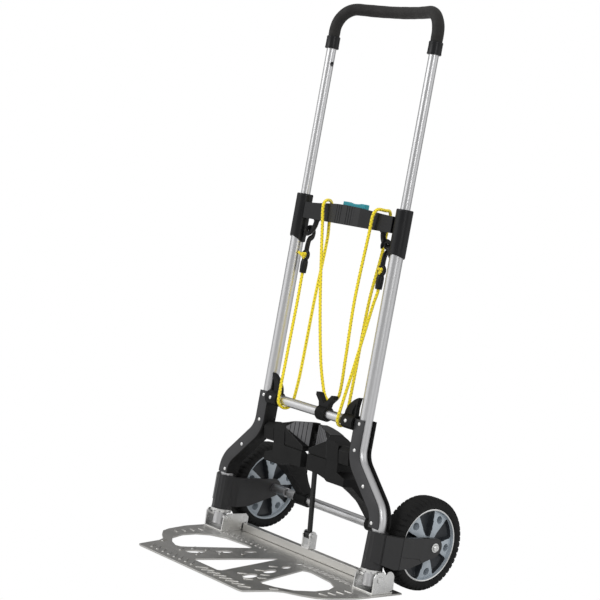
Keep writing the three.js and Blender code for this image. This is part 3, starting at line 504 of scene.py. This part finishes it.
# ---- handle tube: 18 mm tube bent into a wide U whose bar bows back ----
def handle_line(foot):
    top, bow = 1031, 44
    half = [(TUBE_X, 0, foot, 0), (TUBE_X, 0, top, 44)]
    other = [(-u, y, h, radius) for u, y, h, radius in half[::-1]]
    return rounded(half + [(0, bow, top, 260)] + other, 2.5)


handle = pipe("handle_tube_shape", handle_line(598), 9, 1.4, TUBE, 40)
cut(handle, *[peg(x * 128, 0, s, HOLE_R, 12) for _, x in SIDES for s in (LOCK_S, 924)])
place(handle, "handle", "tube_aluminium", "handle_tube")


# ---- foam grip: thicker than the tube, slightly uneven along its length and tucked in at each end ----
line = even(handle_line(976.4), 4)
along = np.linspace(0, 1, len(line))
swell = 1 + 0.012 * np.sin(along * 31) + 0.008 * np.sin(along * 83 + 1)
ends = np.minimum(np.arange(len(line)), np.arange(len(line))[::-1])
swell *= 1 - 0.05 * np.exp(-ends / 0.8)
grip = sweep("foam_grip_shape", line, circle(11.1, 40), FOAM, scale=swell)
place(grip, "handle", "foam", "foam_grip")


# ---- grip collars: glossy sleeves that close the foam's ends, with a lip at each end ----
for side, x in SIDES:
    profile = [
        (9.4, 953), (12.2, 953), (13.1, 953.8), (13.2, 955.5), (12.8, 957), (12.7, 972), (12.9, 973.5),
        (12.8, 975), (12.1, 976), (9.4, 976),
    ]
    collar = lathe(side + "_grip_collar_shape", profile, (x * TUBE_X, 0, 0), "s", SATIN)
    place(collar, "handle", "satin_black_plastic", side + "_grip_collar")


# ---- cross tube and axle tube: straight, held in sockets, and a stub in each wheel fork ----
cross = pipe("upper_cross_tube_shape", [(x, CROSS_Y, CROSS_S) for x in (-117, 0, 117)], 9, 1.5, CROSS, 48)
place(cross, "frame", "tube_aluminium", "upper_cross_tube")
axle = pipe("axle_tube_shape", [(x, AXLE_Y, AXLE_S) for x in (-143.5, 0, 143.5)], 9, 1.5, CROSS, 48)
place(axle, "rear_legs", "tube_aluminium", "axle_tube")
for side, x in SIDES:
    profile = [(7, 150.6), (8.6, 150.6), (9, 151.2), (9, 190.4), (0, 190.4), (0, 162.6), (7, 162.6)]
    stub = lathe(side + "_axle_stub_shape", sided(profile, x), AXLE_AT, "x", CROSS)
    place(stub, side + "_fork", "tube_aluminium", side + "_axle_stub")


# ---- tube housings: round sleeves with a rounded cap and an arched lower edge ----
for side, x in SIDES:
    n, cols = 72, 17
    points = []
    for i in range(n):
        a = 2 * math.pi * i / n
        turned = math.degrees(a if x < 0 else math.pi - a) % 360
        low = 584.3 + np.interp(turned, range(0, 361, 45), [0, 1, 3, 5, 6.5, 9.5, 10.5, 6, 0])
        rings = [(13.0, low + 0.8), (14.6, low), (15.4, low + 0.9)]
        rings += [(15.5, low + (668 - low) * k / 5) for k in range(1, 6)]
        rings += [(15.5, 671), (15.6, 672.5), (15.5, 674.2), (14.9, 675.5), (13.6, 676), (10.6, 676), (9.7, 675.2)]
        rings += [(9.7, 670), (13.0, 668)]
        points += [(x * TUBE_X + r * math.cos(a), r * math.sin(a), s) for r, s in rings]
    housing = mesh(side + "_tube_housing_shape", leaned(points), grid_faces(n, cols, True, True), SATIN, 40)
    tidy(housing, 40)
    place(housing, "frame", "satin_black_plastic", side + "_tube_housing")


# ---- crossbar: a bowed front shell with a grooved panel, a flat rear shell, and a hook under each end ----
front = refined("crossbar_front_shell", SATIN, 1.0, 3)
front.data.materials.append(PANEL)
for f in front.data.polygons:
    if f.normal.y < -0.5 and abs(f.center.x) < 0.052:
        f.material_index = 1
place(front, "frame", "satin_black_plastic")
hooks = []
thick = np.interp(np.linspace(0, 1, 24), [0, 0.8, 1], [1.1, 1, 0.72])
for _, x in SIDES:
    arc = np.radians(np.linspace(-6, 84, 24))
    line = [(x * (121 - 30.5 * math.cos(t)), 0.6, 631 - 30.5 * math.sin(t)) for t in arc]
    hooks.append(sweep("prong", line, oval(4.2, 4.6, 28), SATIN, scale=thick))
rear = joined("crossbar_rear_shell_shape", [refined("crossbar_rear_shell", SATIN, 1.0, 3)] + hooks)
place(rear, "frame", "satin_black_plastic", "crossbar_rear_shell")


# ---- release button: a teal bar with a scooped top, between the shells ----
button = refined("release_button", TEAL, 1.6, 4)
place(button, "button", "teal_plastic")


# ---- elastic cord: yellow braid with dark flecks, laid as one run from hook to hook ----
def braid():
    """Yellow yarn crossing in two helices, dark where marked strands of both cross, with a bump of strands."""
    made = bpy.data.materials.new("braided_cord")
    made.use_nodes = True
    tree = made.node_tree
    base = tree.nodes["Principled BSDF"]
    uv = tree.nodes.new("ShaderNodeUVMap")
    uv.uv_map = "UVMap"
    parts = tree.nodes.new("ShaderNodeSeparateXYZ")
    tree.links.new(uv.outputs["UV"], parts.inputs["Vector"])

    def maths(kind, a, b):
        m = tree.nodes.new("ShaderNodeMath")
        m.operation = kind
        for socket, value in zip(m.inputs, (a, b)):
            if isinstance(value, (int, float)):
                socket.default_value = value
            elif value is not None:
                tree.links.new(value, socket)
        return m.outputs["Value"]

    def helix(per_metre, turns):
        along, about = (maths("MULTIPLY", parts.outputs[k], n) for k, n in (("X", per_metre), ("Y", turns)))
        phase = maths("ADD", along, about)
        return maths("SINE", maths("MULTIPLY", phase, 2 * math.pi), None)

    marked = [maths("GREATER_THAN", helix(150, turns), 0.62) for turns in (2, -2)]
    fleck = maths("MULTIPLY", *marked)
    yarn = maths("MULTIPLY", helix(420, 8), helix(420, -8))
    mix = tree.nodes.new("ShaderNodeMix")
    mix.data_type = "RGBA"
    mix.inputs["A"].default_value = (0.93, 0.74, 0.008, 1)
    mix.inputs["B"].default_value = (0.02, 0.02, 0.02, 1)
    tree.links.new(fleck, mix.inputs["Factor"])
    tree.links.new(mix.outputs["Result"], base.inputs["Base Color"])
    bump = tree.nodes.new("ShaderNodeBump")
    bump.inputs["Strength"].default_value = 0.5
    bump.inputs["Distance"].default_value = 0.0004
    tree.links.new(yarn, bump.inputs["Height"])
    tree.links.new(bump.outputs["Normal"], base.inputs["Normal"])
    base.inputs["Roughness"].default_value = 0.75
    base.inputs["Sheen Weight"].default_value = 0.3
    return made


CORD = braid()


def around(x0, x1, a0, a1):
    """Points round the underside of the cross tube, at the radius of the cord's middle."""
    wrap = 13
    turns = np.radians(np.linspace(a0, a1, 6))
    across = np.linspace(x0, x1, 6)
    return [(u, CROSS_Y + wrap * math.cos(t), CROSS_S + wrap * math.sin(t)) for u, t in zip(across, turns)]


cord_points = (
    [(-104, 0.5, 527.6), (-103.6, 0, 520), (-99, -4, 476), (-90, -14, 361)]
    + around(-82, -70, 180, 360)
    + [(-64, 4, 340), (-68, 10, 482), (-76, 22, 600), (-79, 21, 640), (-78, 21, 660), (-76, 15, 669),
       (-66, 0, 671), (-57, -14, 670), (-55, -21.5, 665), (-53, -24, 655), (-48, -24, 631), (-21, -19, 487),
       (-1, -9, 378), (12, 0.6, 323), (24, 0.6, 310), (42, 0.6, 310), (54, 0.6, 323), (64, -10, 390),
       (70, -20, 501), (77, -21, 631), (79, -22, 655), (81, -19.5, 665), (82, -13, 669), (84, 2, 669),
       (82, 15, 669), (80, 21, 660), (79, 21, 640), (77, 20, 590), (77, 10, 505), (81, 4, 370)]
    + around(79, 84, 360, 180)
    + [(92, -13, 380), (101.5, -2.5, 500), (103.8, 0, 520), (104, 0.5, 527.6)]
)
cord = sweep("bungee_cord_shape", even(curved(cord_points, 14), 2.5), circle(3, 20), CORD)
place(cord, "frame", "cord", "bungee_cord")


# ---- cord hooks: a flat black hook over each prong, an eye with the cord's yellow knot in it, and a barrel ----
EYE_S = 562
for side, x in SIDES:
    hook_x = x * HOOK_X
    arc = np.radians(np.linspace(200, -72, 34))
    curl = [(hook_x, 0.5 + 10.9 * math.cos(t), 604.6 + 10.9 * math.sin(t)) for t in arc]
    curl += [(hook_x, 1.6, 589), (hook_x, 0.6, 580), (hook_x, 0.5, 571)]
    line = curved(curl, 3)
    thick = np.interp(np.linspace(0, 1, len(line)), [0, 0.12, 0.72, 0.8, 1], [0.6, 1, 1, 1.3, 1.4])
    hook = sweep(side + "_hook_band", line, oval(2.0, 4.0, 24), SATIN, scale=thick)
    turns = np.linspace(0, 2 * math.pi, 41)
    ring = [(hook_x + 7.2 * math.sin(t), 0.5, EYE_S + 8.2 * math.cos(t)) for t in turns]
    eye = sweep(side + "_hook_eye", ring, circle(3.1, 16), SATIN)
    profile = [(0, 527.8), (5.6, 527.8), (6.4, 528.8), (7, 541), (6.9, 549), (5.8, 553), (3.4, 555), (0, 555.4)]
    barrel = lathe(side + "_hook_barrel", profile, (hook_x, 0.5, 0), "s", SATIN)
    place(joined(side + "_cord_hook_shape", [hook, eye, barrel]), "frame", "black_plastic", side + "_cord_hook")
    turns = np.linspace(0, 2 * math.pi, 90)
    tangle = [(hook_x + 3.0 * math.sin(t) + 1.5 * math.sin(2 * t), -3.4 + 2.0 * math.cos(3 * t),
               EYE_S + 3.2 * math.cos(t) - 2.2 * math.cos(2 * t)) for t in turns]
    loops = [sweep("loops", tangle, circle(2.8, 14), CORD)]
    if x < 0:
        tail = curved([(-106, -5, 560), (-111, -7, 563), (-116, -8, 565.5)], 6)
        loops.append(sweep("tail", tail, circle(2.7, 14), CORD))
    knot = joined(side + "_cord_knot", loops)
    place(knot, "frame", "cord", side + "_cord_hook")


# ---- cord clip: a ribbed ring round the cross tube with two horns that hold the cord ----
ribs = [(9.35, 21.4), (13.4, 21.4)]
for u in (23.4, 26.6, 29.8, 33, 36.2, 39.4, 42.6):
    ribs += [(13.9, u - 1.1), (14.3, u - 0.5), (14.3, u + 0.5), (13.9, u + 1.1), (13.2, u + 1.6)]
ribs = ribs[:-1] + [(13.4, 44.6), (9.35, 44.6)]
clip = joined("cord_clip_shape", [refined("cord_clip", BLACK, 2.2, 4, 45),
                                  lathe("ribbed_ring", ribs, CROSS_AT, "x", BLACK, 48)])
place(clip, "frame", "black_plastic", "cord_clip")


# ---- side covers: a channel along each bend, with a grey front strip, a web and a back lip ----
# The section (outboard, back) runs from the front lip round the web to the back lip, then back along the bore.
BORE = [(12.95 * math.cos(t), 12.95 * math.sin(t)) for t in np.radians(np.linspace(90, 270, 25))]
CHANNEL = np.array(
    [(10.6, -14.8), (-13.2, -14.8), (-14.6, -14.4), (-15.5, -13.4), (-15.7, -12), (-15.7, 12), (-15.5, 13.4),
     (-14.6, 14.4), (-13.2, 14.8), (12.8, 14.8), (13.4, 14.3), (13.4, 13.4), (12.8, 12.95)]
    + BORE
    + [(10.9, -12.95), (11.4, -13.4), (11.4, -14.2)]
)
SOCKET = [(9.35, 91), (12.6, 91), (13.6, 91.8), (14, 93), (14, 121), (9.35, 121)]
HORN_OUTER = [(92, 292), (91, 300), (93.5, 308), (99, 316), (107, 323.5), (115, 329), (121, 331.5)]
HORN_INNER = [(121, 331.5), (119.2, 322), (118, 312), (118.8, 302), (120, 292)]
HORN_SLIT = [(108.5, 299), (110, 307), (113.5, 315), (116, 319), (115.6, 309), (115.8, 299)]
RIVETS = ((134, 286), (134, 238), (171.5, 181), (208, 123.7))


def flat_curve(corners):
    """A smooth line through (across, up) corners of the frame's plane."""
    return curved([(u, 0, h) for u, h in corners], 4)


def upright(points, x, front, back, name):
    """A plate on the side x with an outline in the frame's plane, from the front to the back."""
    both = [(x * u, y, h) for y in (front, back) for u, _, h in points]
    return tidy(mesh(name, leaned(both), prism(len(points)), BLACK))


def rivet(cx, cs, front):
    """A domed head with a dimple, facing forward."""
    head = [(0, 0.7), (0.8, 0.65), (1.2, 1.2), (2.2, 1.1), (3.1, 0.55), (3.3, -0.3), (0, -0.3)]
    n = 20
    rings = []
    for i in range(n):
        t = 2 * math.pi * i / n
        rings += [(cx + r * math.cos(t), front - h, cs + r * math.sin(t)) for r, h in head]
    return tidy(mesh("rivet", leaned(rings), grid_faces(n, len(head), True, True), RIVET))


for side, x in SIDES:
    line = tube_line(1, 115.8, 293.7)
    ahead = tangents(line)
    outward = np.stack([ahead[:, 2], 0 * ahead[:, 0], -ahead[:, 0]], 1)
    points = line[:, None] + CHANNEL[None, :, :1] * outward[:, None] + CHANNEL[None, :, 1:] * np.array([0, 1, 0])
    points = points * np.array([x, 1, 1])
    rows, cols = points.shape[:2]
    walls = (rows - 1) * cols
    cover = mesh(side + "_side_cover_channel", leaned(points.reshape(-1, 3)), capped(rows, cols), [BLACK, STRIP], 40)
    strip = [int(i < walls and i % cols in (0, cols - 1)) for i in range(len(cover.data.polygons))]
    cover.data.polygons.foreach_set("material_index", strip)
    bevel(cover, 0.6, 50)
    bake(cover)
    cover.data.set_sharp_from_angle(angle=math.radians(40))
    place(cover, "frame", "black_plastic", side + "_side_cover")

    # The socket reaches inboard over the cross tube's end, and a horn with a slit stands on it.
    socket = lathe(side + "_cover_socket", sided(SOCKET, x), CROSS_AT, "x", BLACK)
    outline = np.concatenate([flat_curve(HORN_OUTER), flat_curve(HORN_INNER)[1:]])
    horn = upright(outline, x, -13.6, -3.8, side + "_cover_horn")
    cut(horn, upright(flat_curve(HORN_SLIT), x, -20, 5, "slit"))
    bevel(horn, 1.2, 50)
    bake(horn)
    tidy(horn, 40)
    place(joined(side + "_side_cover_arm", [socket, horn]), "frame", "black_plastic", side + "_side_cover")

    # Five pop rivets: four down the strip and one on the socket.
    heads = [rivet(x * u, s, -15.0) for u, s in RIVETS] + [rivet(x * 105.5, 286, -22.8)]
    place(joined(side + "_rivets", heads), "frame", "zinc_steel", side + "_side_cover")


# ---- pivot wings and crown: two ribbed pads slope back to the strut's slot, over plain lower plates ----
for side, x in SIDES:
    place(refined(side + "_pivot_wing", BLACK, 1.2, 3), "frame", "black_plastic")


CLEAR_S = 275  # above the crown's top, where its cutters end


def recess(u):
    """How far back the pad's face lies at a width, and how low its floor is."""
    return -13 + (57 - u) * 0.42, 238 - (57 - u) * 0.5


def half_crown(x):
    """One half from the slot to the knuckle: a side profile whose top follows the arch."""
    rows = []
    a = np.radians(np.linspace(-100, 0, 9))
    for u in np.linspace(8.5, 58, 16):
        top = 259 - 22 * (u / 89.5) ** 2
        profile = [(-6, top), (-13, top - 9), (-13, 233), (-7, 204.6), (2, 204.3)]
        profile += [(12 + 15.6 * math.cos(t), 220 + 15.6 * math.sin(t)) for t in a] + [(27.6, top)]
        rows.append([(x * u, y, h) for y, h in profile])
    half = tidy(mesh("half_crown", leaned(np.array(rows).reshape(-1, 3)), capped(len(rows), len(rows[0])), BLACK))
    corners = [(x * u, y, h) for h in (0, 1) for u, y in ((57, -16), (57, -13), (6, recess(6)[0]), (6, -16))]
    corners = [(a, b, CLEAR_S if h else recess(abs(a))[1]) for a, b, h in corners]
    cut(half, tidy(mesh("scoop", leaned(corners), prism(4), BLACK)))
    bevel(half, 1.1, 24)
    bake(half)
    grooves = []
    for u in (17, 25, 33, 41, 49):
        back, low = recess(u)
        outline = ((-0.55, -3), (0.55, -3), (0.55, 1.3), (-0.55, 1.3))
        box = [(x * (u + du), back + dy, h) for h in (low - 0.4, CLEAR_S) for du, dy in outline]
        grooves.append(tidy(mesh("groove", leaned(box), prism(4), BLACK)))
    return cut(half, *grooves)


box = [(x, y, h) for h in (241, 257) for x, y in ((-9, 24.6), (9, 24.6), (9, 27), (-9, 27))]
bridge = mesh("bridge", leaned(box), prism(4), BLACK)
right = half_crown(1)
left = bpy.data.objects.new("half_crown", right.data.copy())
mirrored(left.data)
crown = joined("crown_shape", [left, right, bridge])
crown.data.materials.clear()
for material in (BLACK, PAD, STRIP):
    crown.data.materials.append(material)
for f in crown.data.polygons:
    pad = f.normal.y < -0.6 and 0.2 < abs(f.normal.x) < 0.6 and f.center.z > 0.205
    f.material_index = 1 if pad else 2 if f.normal.z > 0.75 and f.center.z > 0.24 else 0
shade(crown.data)
place(flatten(crown), "frame", "black_plastic", "crown")


# ---- rear legs: arched plates that run back and down to collars on the axle tube ----
for side, x in SIDES:
    place(refined(side + "_rear_leg", BLACK, 1.6, 4, 40), "rear_legs", "black_plastic")


# ---- wheel forks: a faceted sleeve on the tube, a rounded shoulder and two arms with a stepped groove ----
def trough(x):
    """A thin cutter along the outer arm's face: level, then down to the arm's lower edge."""
    points = []
    for y, s in ((14, 75.5), (70, 71.5), (84, 60)):
        points += [(x * u, y, s + ds) for u, ds in ((257.2, 0.6), (259, 0.6), (259, -0.6), (257.2, -0.6))]
    return tidy(mesh("trough", leaned(points), capped(3, 4), FORK))


for side, x in SIDES:
    seam = peg(x * 239, -4.9, 80, 1.5, 90, "s")
    fork = cut(refined(side + "_wheel_fork", FORK, 1.1, 3, 30, 24), trough(x), seam)
    place(flatten(fork), side + "_fork", "black_plastic")
    place(refined(side + "_fork_gear", ZINC, 0.5, 2), side + "_fork", "zinc_steel")


# ---- axle bolts: a domed screw head with a washer on the outer arm ----
for side, x in SIDES:
    head = [(0, 258.2), (8.2, 258.2), (8.6, 258.6), (8.2, 259.2), (6.6, 259.3), (6.4, 261.6), (5.2, 262.6),
            (2.4, 262.7), (2.2, 261.4), (0, 261.4)]
    bolt = lathe(side + "_axle_bolt_shape", sided(head, x), AXLE_AT, "x", ZINC, 48)
    place(bolt, side + "_fork", "zinc_steel", side + "_axle_bolt")


# ---- wheels: a solid tyre with a blocked shoulder, and a grey rim with five drilled wedge spokes ----
TYRE_HALF = [(86, 3), (85.8, 8), (85.3, 13), (84.2, 17), (82.6, 19.6), (80.5, 21.2), (78, 21.9), (74, 22), (70, 21.6),
             (67.6, 20.6)]
BLOCKS = 48
SPOKE = 72  # degrees from one of the five spokes to the next


def tyre(side, x):
    """The tyre's section round the wheel, with slanted grooves cut into its shoulders."""
    n = 480
    profile = np.array([(r, -u) for r, u in TYRE_HALF[::-1]] + TYRE_HALF)
    r, u = profile[None, :, 0], profile[None, :, 1]
    a = np.linspace(0, 2 * math.pi, n, endpoint=False)[:, None]
    pitch = 2 * math.pi / BLOCKS
    slant = a + np.abs(u) * 0.0025 + np.where(u > 0, pitch / 2, 0)
    groove = np.clip((0.16 - np.abs((slant / pitch) % 1 - 0.5)) / 0.05, 0, 1)
    depth = np.interp(np.abs(u), [3, 8, 13, 19, 21.3, 22], [0, 0.7, 1.6, 2.0, 1.2, 0]) * (r > 76)
    radius = r - groove * depth
    shift = u - np.sign(u) * groove * np.interp(np.abs(u), [16, 21], [0, 0.7]) * (r > 76)
    points = [x * WHEEL_X + shift + 0 * a, AXLE_Y + radius * np.cos(a), AXLE_S + radius * np.sin(a)]
    points = leaned(np.stack(points, -1).reshape(-1, 3))
    return tidy(mesh(side + "_tyre_shape", points, grid_faces(n, len(profile), True, True), TYRE, 28), 28)


def off_spoke(angle):
    """Degrees from an angle to the nearest spoke's middle, where a spoke is at 0."""
    return np.abs((angle + SPOKE / 2) % SPOKE - SPOKE / 2)


def rim(side, x, first):
    """Front and back faces as polar grids: high on the five wedges, low between them, with a lip at the edge, and
    painted shade on the low faces between the wedges.
    """
    hub = leaned([(x * WHEEL_X, AXLE_Y, AXLE_S)])[0] / 1000
    n, radii = 360, [8, 12, 15, 15.6, 18, 22, 27, 33, 39, 45, 51, 57, 61, 63.2, 64, 65.6, 67.1]
    lip = {63.2: 13.0, 64: 19.2, 65.6: 19.8, 67.1: 19.2}
    a = np.linspace(0, 360, n, endpoint=False)
    t = np.radians(a)
    shells = []
    for sign in (1, -1):
        rows = []
        for r in radii:
            off = off_spoke(a - first)
            half = np.interp(r, [12, 30, 64], [24, 17, 19.5])
            rise = np.clip((half - off) / 3.2 + 0.5, 0, 1)
            rise = rise * rise * (3 - 2 * rise)
            high = np.interp(r, [12, 30, 45, 58, 64], [17.5, 16.5, 15.5, 13.5, 12])
            dome = 1.6 * (1 - np.clip(off / half, 0, 1) ** 2)
            low = np.interp(r, [12, 16, 30, 50, 62, 64], [16, 8, 4, 4, 7, 12])
            u = low + (high - low) * rise + dome * rise * (20 < r < 62)
            if r <= 15:
                u = np.full(n, 19.0 if r < 15 else 18.6)
            if r in lip:
                u = np.full(n, lip[r])
            rows.append(np.stack([x * WHEEL_X + sign * u, AXLE_Y + r * np.cos(t), AXLE_S + r * np.sin(t)], -1))
        shells += rows if sign > 0 else rows[::-1]
    points = leaned(np.array(shells).reshape(-1, 3))
    made = mesh(side + "_wheel_rim_shape", points, grid_faces(len(shells), n, True, True), [RIM, VALLEY_SHADE], 38)
    tidy(made, 38)
    # Painted shade: faces low between the wedges take the near-black second material, standing in for the shade in
    # those recesses.
    for f in made.data.polygons:
        y, z = f.center.y - hub[1], f.center.z - hub[2]
        away = math.hypot(y, z) * 1000
        off = off_spoke(math.degrees(math.atan2(z, y) + LEAN) - first)
        f.material_index = int(15.7 < away < 63 and off > np.interp(away, [12, 30, 64], [21, 15.2, 17.8]))
    turns = [math.radians(first + SPOKE * k) for k in range(5)]
    hole_r, out = 7.2, 50.5
    return cut(made, *[peg(x * WHEEL_X, AXLE_Y + out * math.cos(t), AXLE_S + out * math.sin(t), hole_r, 60)
                       for t in turns])


for side, x in SIDES:
    place(tyre(side, x), side + "_wheel", "tyre", side + "_tyre")
    place(rim(side, x, 66 if x > 0 else 93), side + "_wheel", "grey_plastic", side + "_wheel_rim")
    profile = [(r, WHEEL_X + u) for r, u in ((64.2, 19.3), (65.8, 20.1), (67.0, 19.6), (66.9, 19))]
    band = lathe(side + "_rim_line", profile, AXLE_AT, "x", ZINC, 96)
    if x < 0:
        mirrored(band.data)
    place(band, side + "_wheel", "grey_plastic", side + "_wheel_rim")


# ---- toe plate: pressed sheet with cut-outs, and rows of raised louvres on its border and arms ----
plate = refined("toe_plate", SHEET, 0.7, 3, 30, 50)
place(plate, "toe", "sheet_aluminium")


def louvre(cx, cy, angle, length=24, wide=5.5, high=1.7):
    """A raised half pod: an oval ring grid, highest along its middle."""
    points, n, levels = [], 28, 7
    c, s = math.cos(math.radians(angle)), math.sin(math.radians(angle))
    straight = length / 2 - wide / 2
    for share in np.linspace(0, 1, levels):
        z = 2.9 + (high + 0.1) * math.sin(share * math.pi / 2)
        shrink = max(math.cos(share * math.pi / 2), 0) ** 0.8
        for i in range(n):
            t = 2 * math.pi * i / n
            u = math.copysign(straight, math.cos(t)) + wide / 2 * shrink * math.cos(t)
            v = wide / 2 * shrink * math.sin(t)
            points.append((cx + u * c - v * s, cy + u * s + v * c, z))
    return mesh("louvre", points, capped(levels, n), SHEET, 60)


pods = []
for x in (-1, 1):
    pods += [louvre(x * u, -216, x * 52) for u in range(14, 150, 17)]
    pods += [louvre(x * u, -3, x * 50, 22) for u in range(62, 200, 14)]
    arms = ((97, -178), (84, -128), (99, -148), (56, -118), (43, -74), (64, -165))
    pods += [louvre(x * u, v, x * 60, 18, 5) for u, v in arms]
    ends = ((212, -104, 20), (213, -84, 15), (213, -64, 10), (212, -44, 5), (160, -172, 60))
    pods += [louvre(x * u, v, x * turned, 18, 5) for u, v, turned in ends]
pods = joined("toe_plate_louvres", pods)
place(pods, "toe", "sheet_aluminium", "toe_plate")


# ---- rear rail, hinge brackets and pins: what joins the plate to the tubes ----
place(refined("rear_rail", SHEET, 1.0, 3), "toe", "sheet_aluminium")
for side, x in SIDES:
    place(refined(side + "_hinge_bracket", ZINC, 0.7, 3, 35, 30), "toe", "zinc_steel")
    place(refined(side + "_hinge_pin", ZINC, 0.6, 3, 35, 30), "toe", "zinc_steel")


# ---- strut: a black bar from a riveted clevis on the rail up into the crown's slot ----
place(refined("strut_clevis", ZINC, 0.7, 3), "toe", "zinc_steel")
place(refined("strut_pin", ZINC, 0.5, 3), "toe", "zinc_steel")
place(refined("strut", PAINT, 0.8, 3), "strut", "black_paint")


# ---- inner pieces that show only through gaps keep their own solids ----
for name, material in [("button_spring", ZINC)] + [
    (side + "_" + piece, material)
    for side, _ in SIDES
    for piece, material in (("lock_pin", ZINC), ("pivot_pin", ZINC), ("guide_bush", BLACK), ("wheel_bush", BLACK))
]:
    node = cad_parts[name]
    node.data.materials.clear()
    node.data.materials.append(material)


# ---- light: white for the camera; reflections see a grey room, bright at two sides and above, dark behind ----
world = bpy.data.worlds.new("room")
bpy.context.scene.world = world
world.use_nodes = True
tree = world.node_tree
tree.nodes.clear()
out = tree.nodes.new("ShaderNodeOutputWorld")
mix = tree.nodes.new("ShaderNodeMixShader")
paths = tree.nodes.new("ShaderNodeLightPath")
seen = tree.nodes.new("ShaderNodeBackground")
seen.inputs["Color"].default_value = WHITE
room = tree.nodes.new("ShaderNodeBackground")
tree.links.new(paths.outputs["Is Camera Ray"], mix.inputs["Fac"])
tree.links.new(room.outputs["Background"], mix.inputs[1])
tree.links.new(seen.outputs["Background"], mix.inputs[2])
tree.links.new(mix.outputs["Shader"], out.inputs["Surface"])
where = tree.nodes.new("ShaderNodeTexCoord")


def toward(azimuth, elevation, start, end):
    """How much a direction points to a spot in the room: 0 below the start cosine, 1 above the end."""
    dot = tree.nodes.new("ShaderNodeVectorMath")
    dot.operation = "DOT_PRODUCT"
    dot.inputs[1].default_value = direction(azimuth, elevation)
    tree.links.new(where.outputs["Generated"], dot.inputs[0])
    ramp = tree.nodes.new("ShaderNodeMapRange")
    ramp.interpolation_type = "SMOOTHSTEP"
    ramp.inputs["From Min"].default_value = start
    ramp.inputs["From Max"].default_value = end
    tree.links.new(dot.outputs["Value"], ramp.inputs["Value"])
    return ramp.outputs["Result"]


def total(parts, base):
    """The base plus each part's value times its weight."""
    value = base
    for fac, weight in parts:
        scaled = tree.nodes.new("ShaderNodeMath")
        scaled.operation = "MULTIPLY_ADD"
        tree.links.new(fac, scaled.inputs[0])
        scaled.inputs[1].default_value = weight
        if isinstance(value, float):
            scaled.inputs[2].default_value = value
        else:
            tree.links.new(value, scaled.inputs[2])
        value = scaled.outputs["Value"]
    return value


strength = total(
    [(toward(-40, 15, 0.80, 0.95), 0.75), (toward(125, 15, 0.84, 0.96), 0.65), (toward(0, 90, 0.55, 0.95), 0.3),
     (paths.outputs["Is Diffuse Ray"], 0.7), (toward(-133, 0, 0.5, 0.95), -0.2)],
    0.42,
)
tree.links.new(strength, room.inputs["Strength"])


def panel(name, place_at, aim, wide, tall, power):
    """A rectangular light in metres and watts, aimed at a point."""
    light = linked(name, bpy.data.lights.new(name, "AREA"))
    light.data.shape = "RECTANGLE"
    light.data.size, light.data.size_y, light.data.energy = wide, tall, power
    turned = (Vector(place_at) - Vector(aim)).to_track_quat("Z", "Y")
    light.matrix_world = Matrix.Translation(place_at) @ turned.to_matrix().to_4x4()


panel("key", (-1.2, -2.6, 2.2), (0, 0, 0.5), 1.6, 1.8, 24)
panel("fill", (3.0, -1.2, 1.6), (0, 0, 0.4), 0.8, 1.6, 14)

# The floor is white to the camera and light grey to everything else.
floor_shade = bpy.data.materials.new("white_sweep")
floor_shade.use_nodes = True
tree = floor_shade.node_tree
tree.nodes.clear()
out = tree.nodes.new("ShaderNodeOutputMaterial")
mix = tree.nodes.new("ShaderNodeMixShader")
paths = tree.nodes.new("ShaderNodeLightPath")
white = tree.nodes.new("ShaderNodeEmission")
white.inputs["Color"].default_value = WHITE
matt = tree.nodes.new("ShaderNodeBsdfDiffuse")
matt.inputs["Color"].default_value = (0.55, 0.55, 0.55, 1)
tree.links.new(paths.outputs["Is Camera Ray"], mix.inputs["Fac"])
tree.links.new(matt.outputs["BSDF"], mix.inputs[1])
tree.links.new(white.outputs["Emission"], mix.inputs[2])
tree.links.new(mix.outputs["Shader"], out.inputs["Surface"])
reach = 4000
corners = [(x * reach, y * reach, -0.5) for x, y in ((-1, -1), (1, -1), (1, 1), (-1, 1))]
floor = mesh("floor", corners, [[0, 1, 2, 3]], floor_shade)

scene = bpy.context.scene
scene.view_settings.view_transform = "Standard"
scene.view_settings.look = "None"
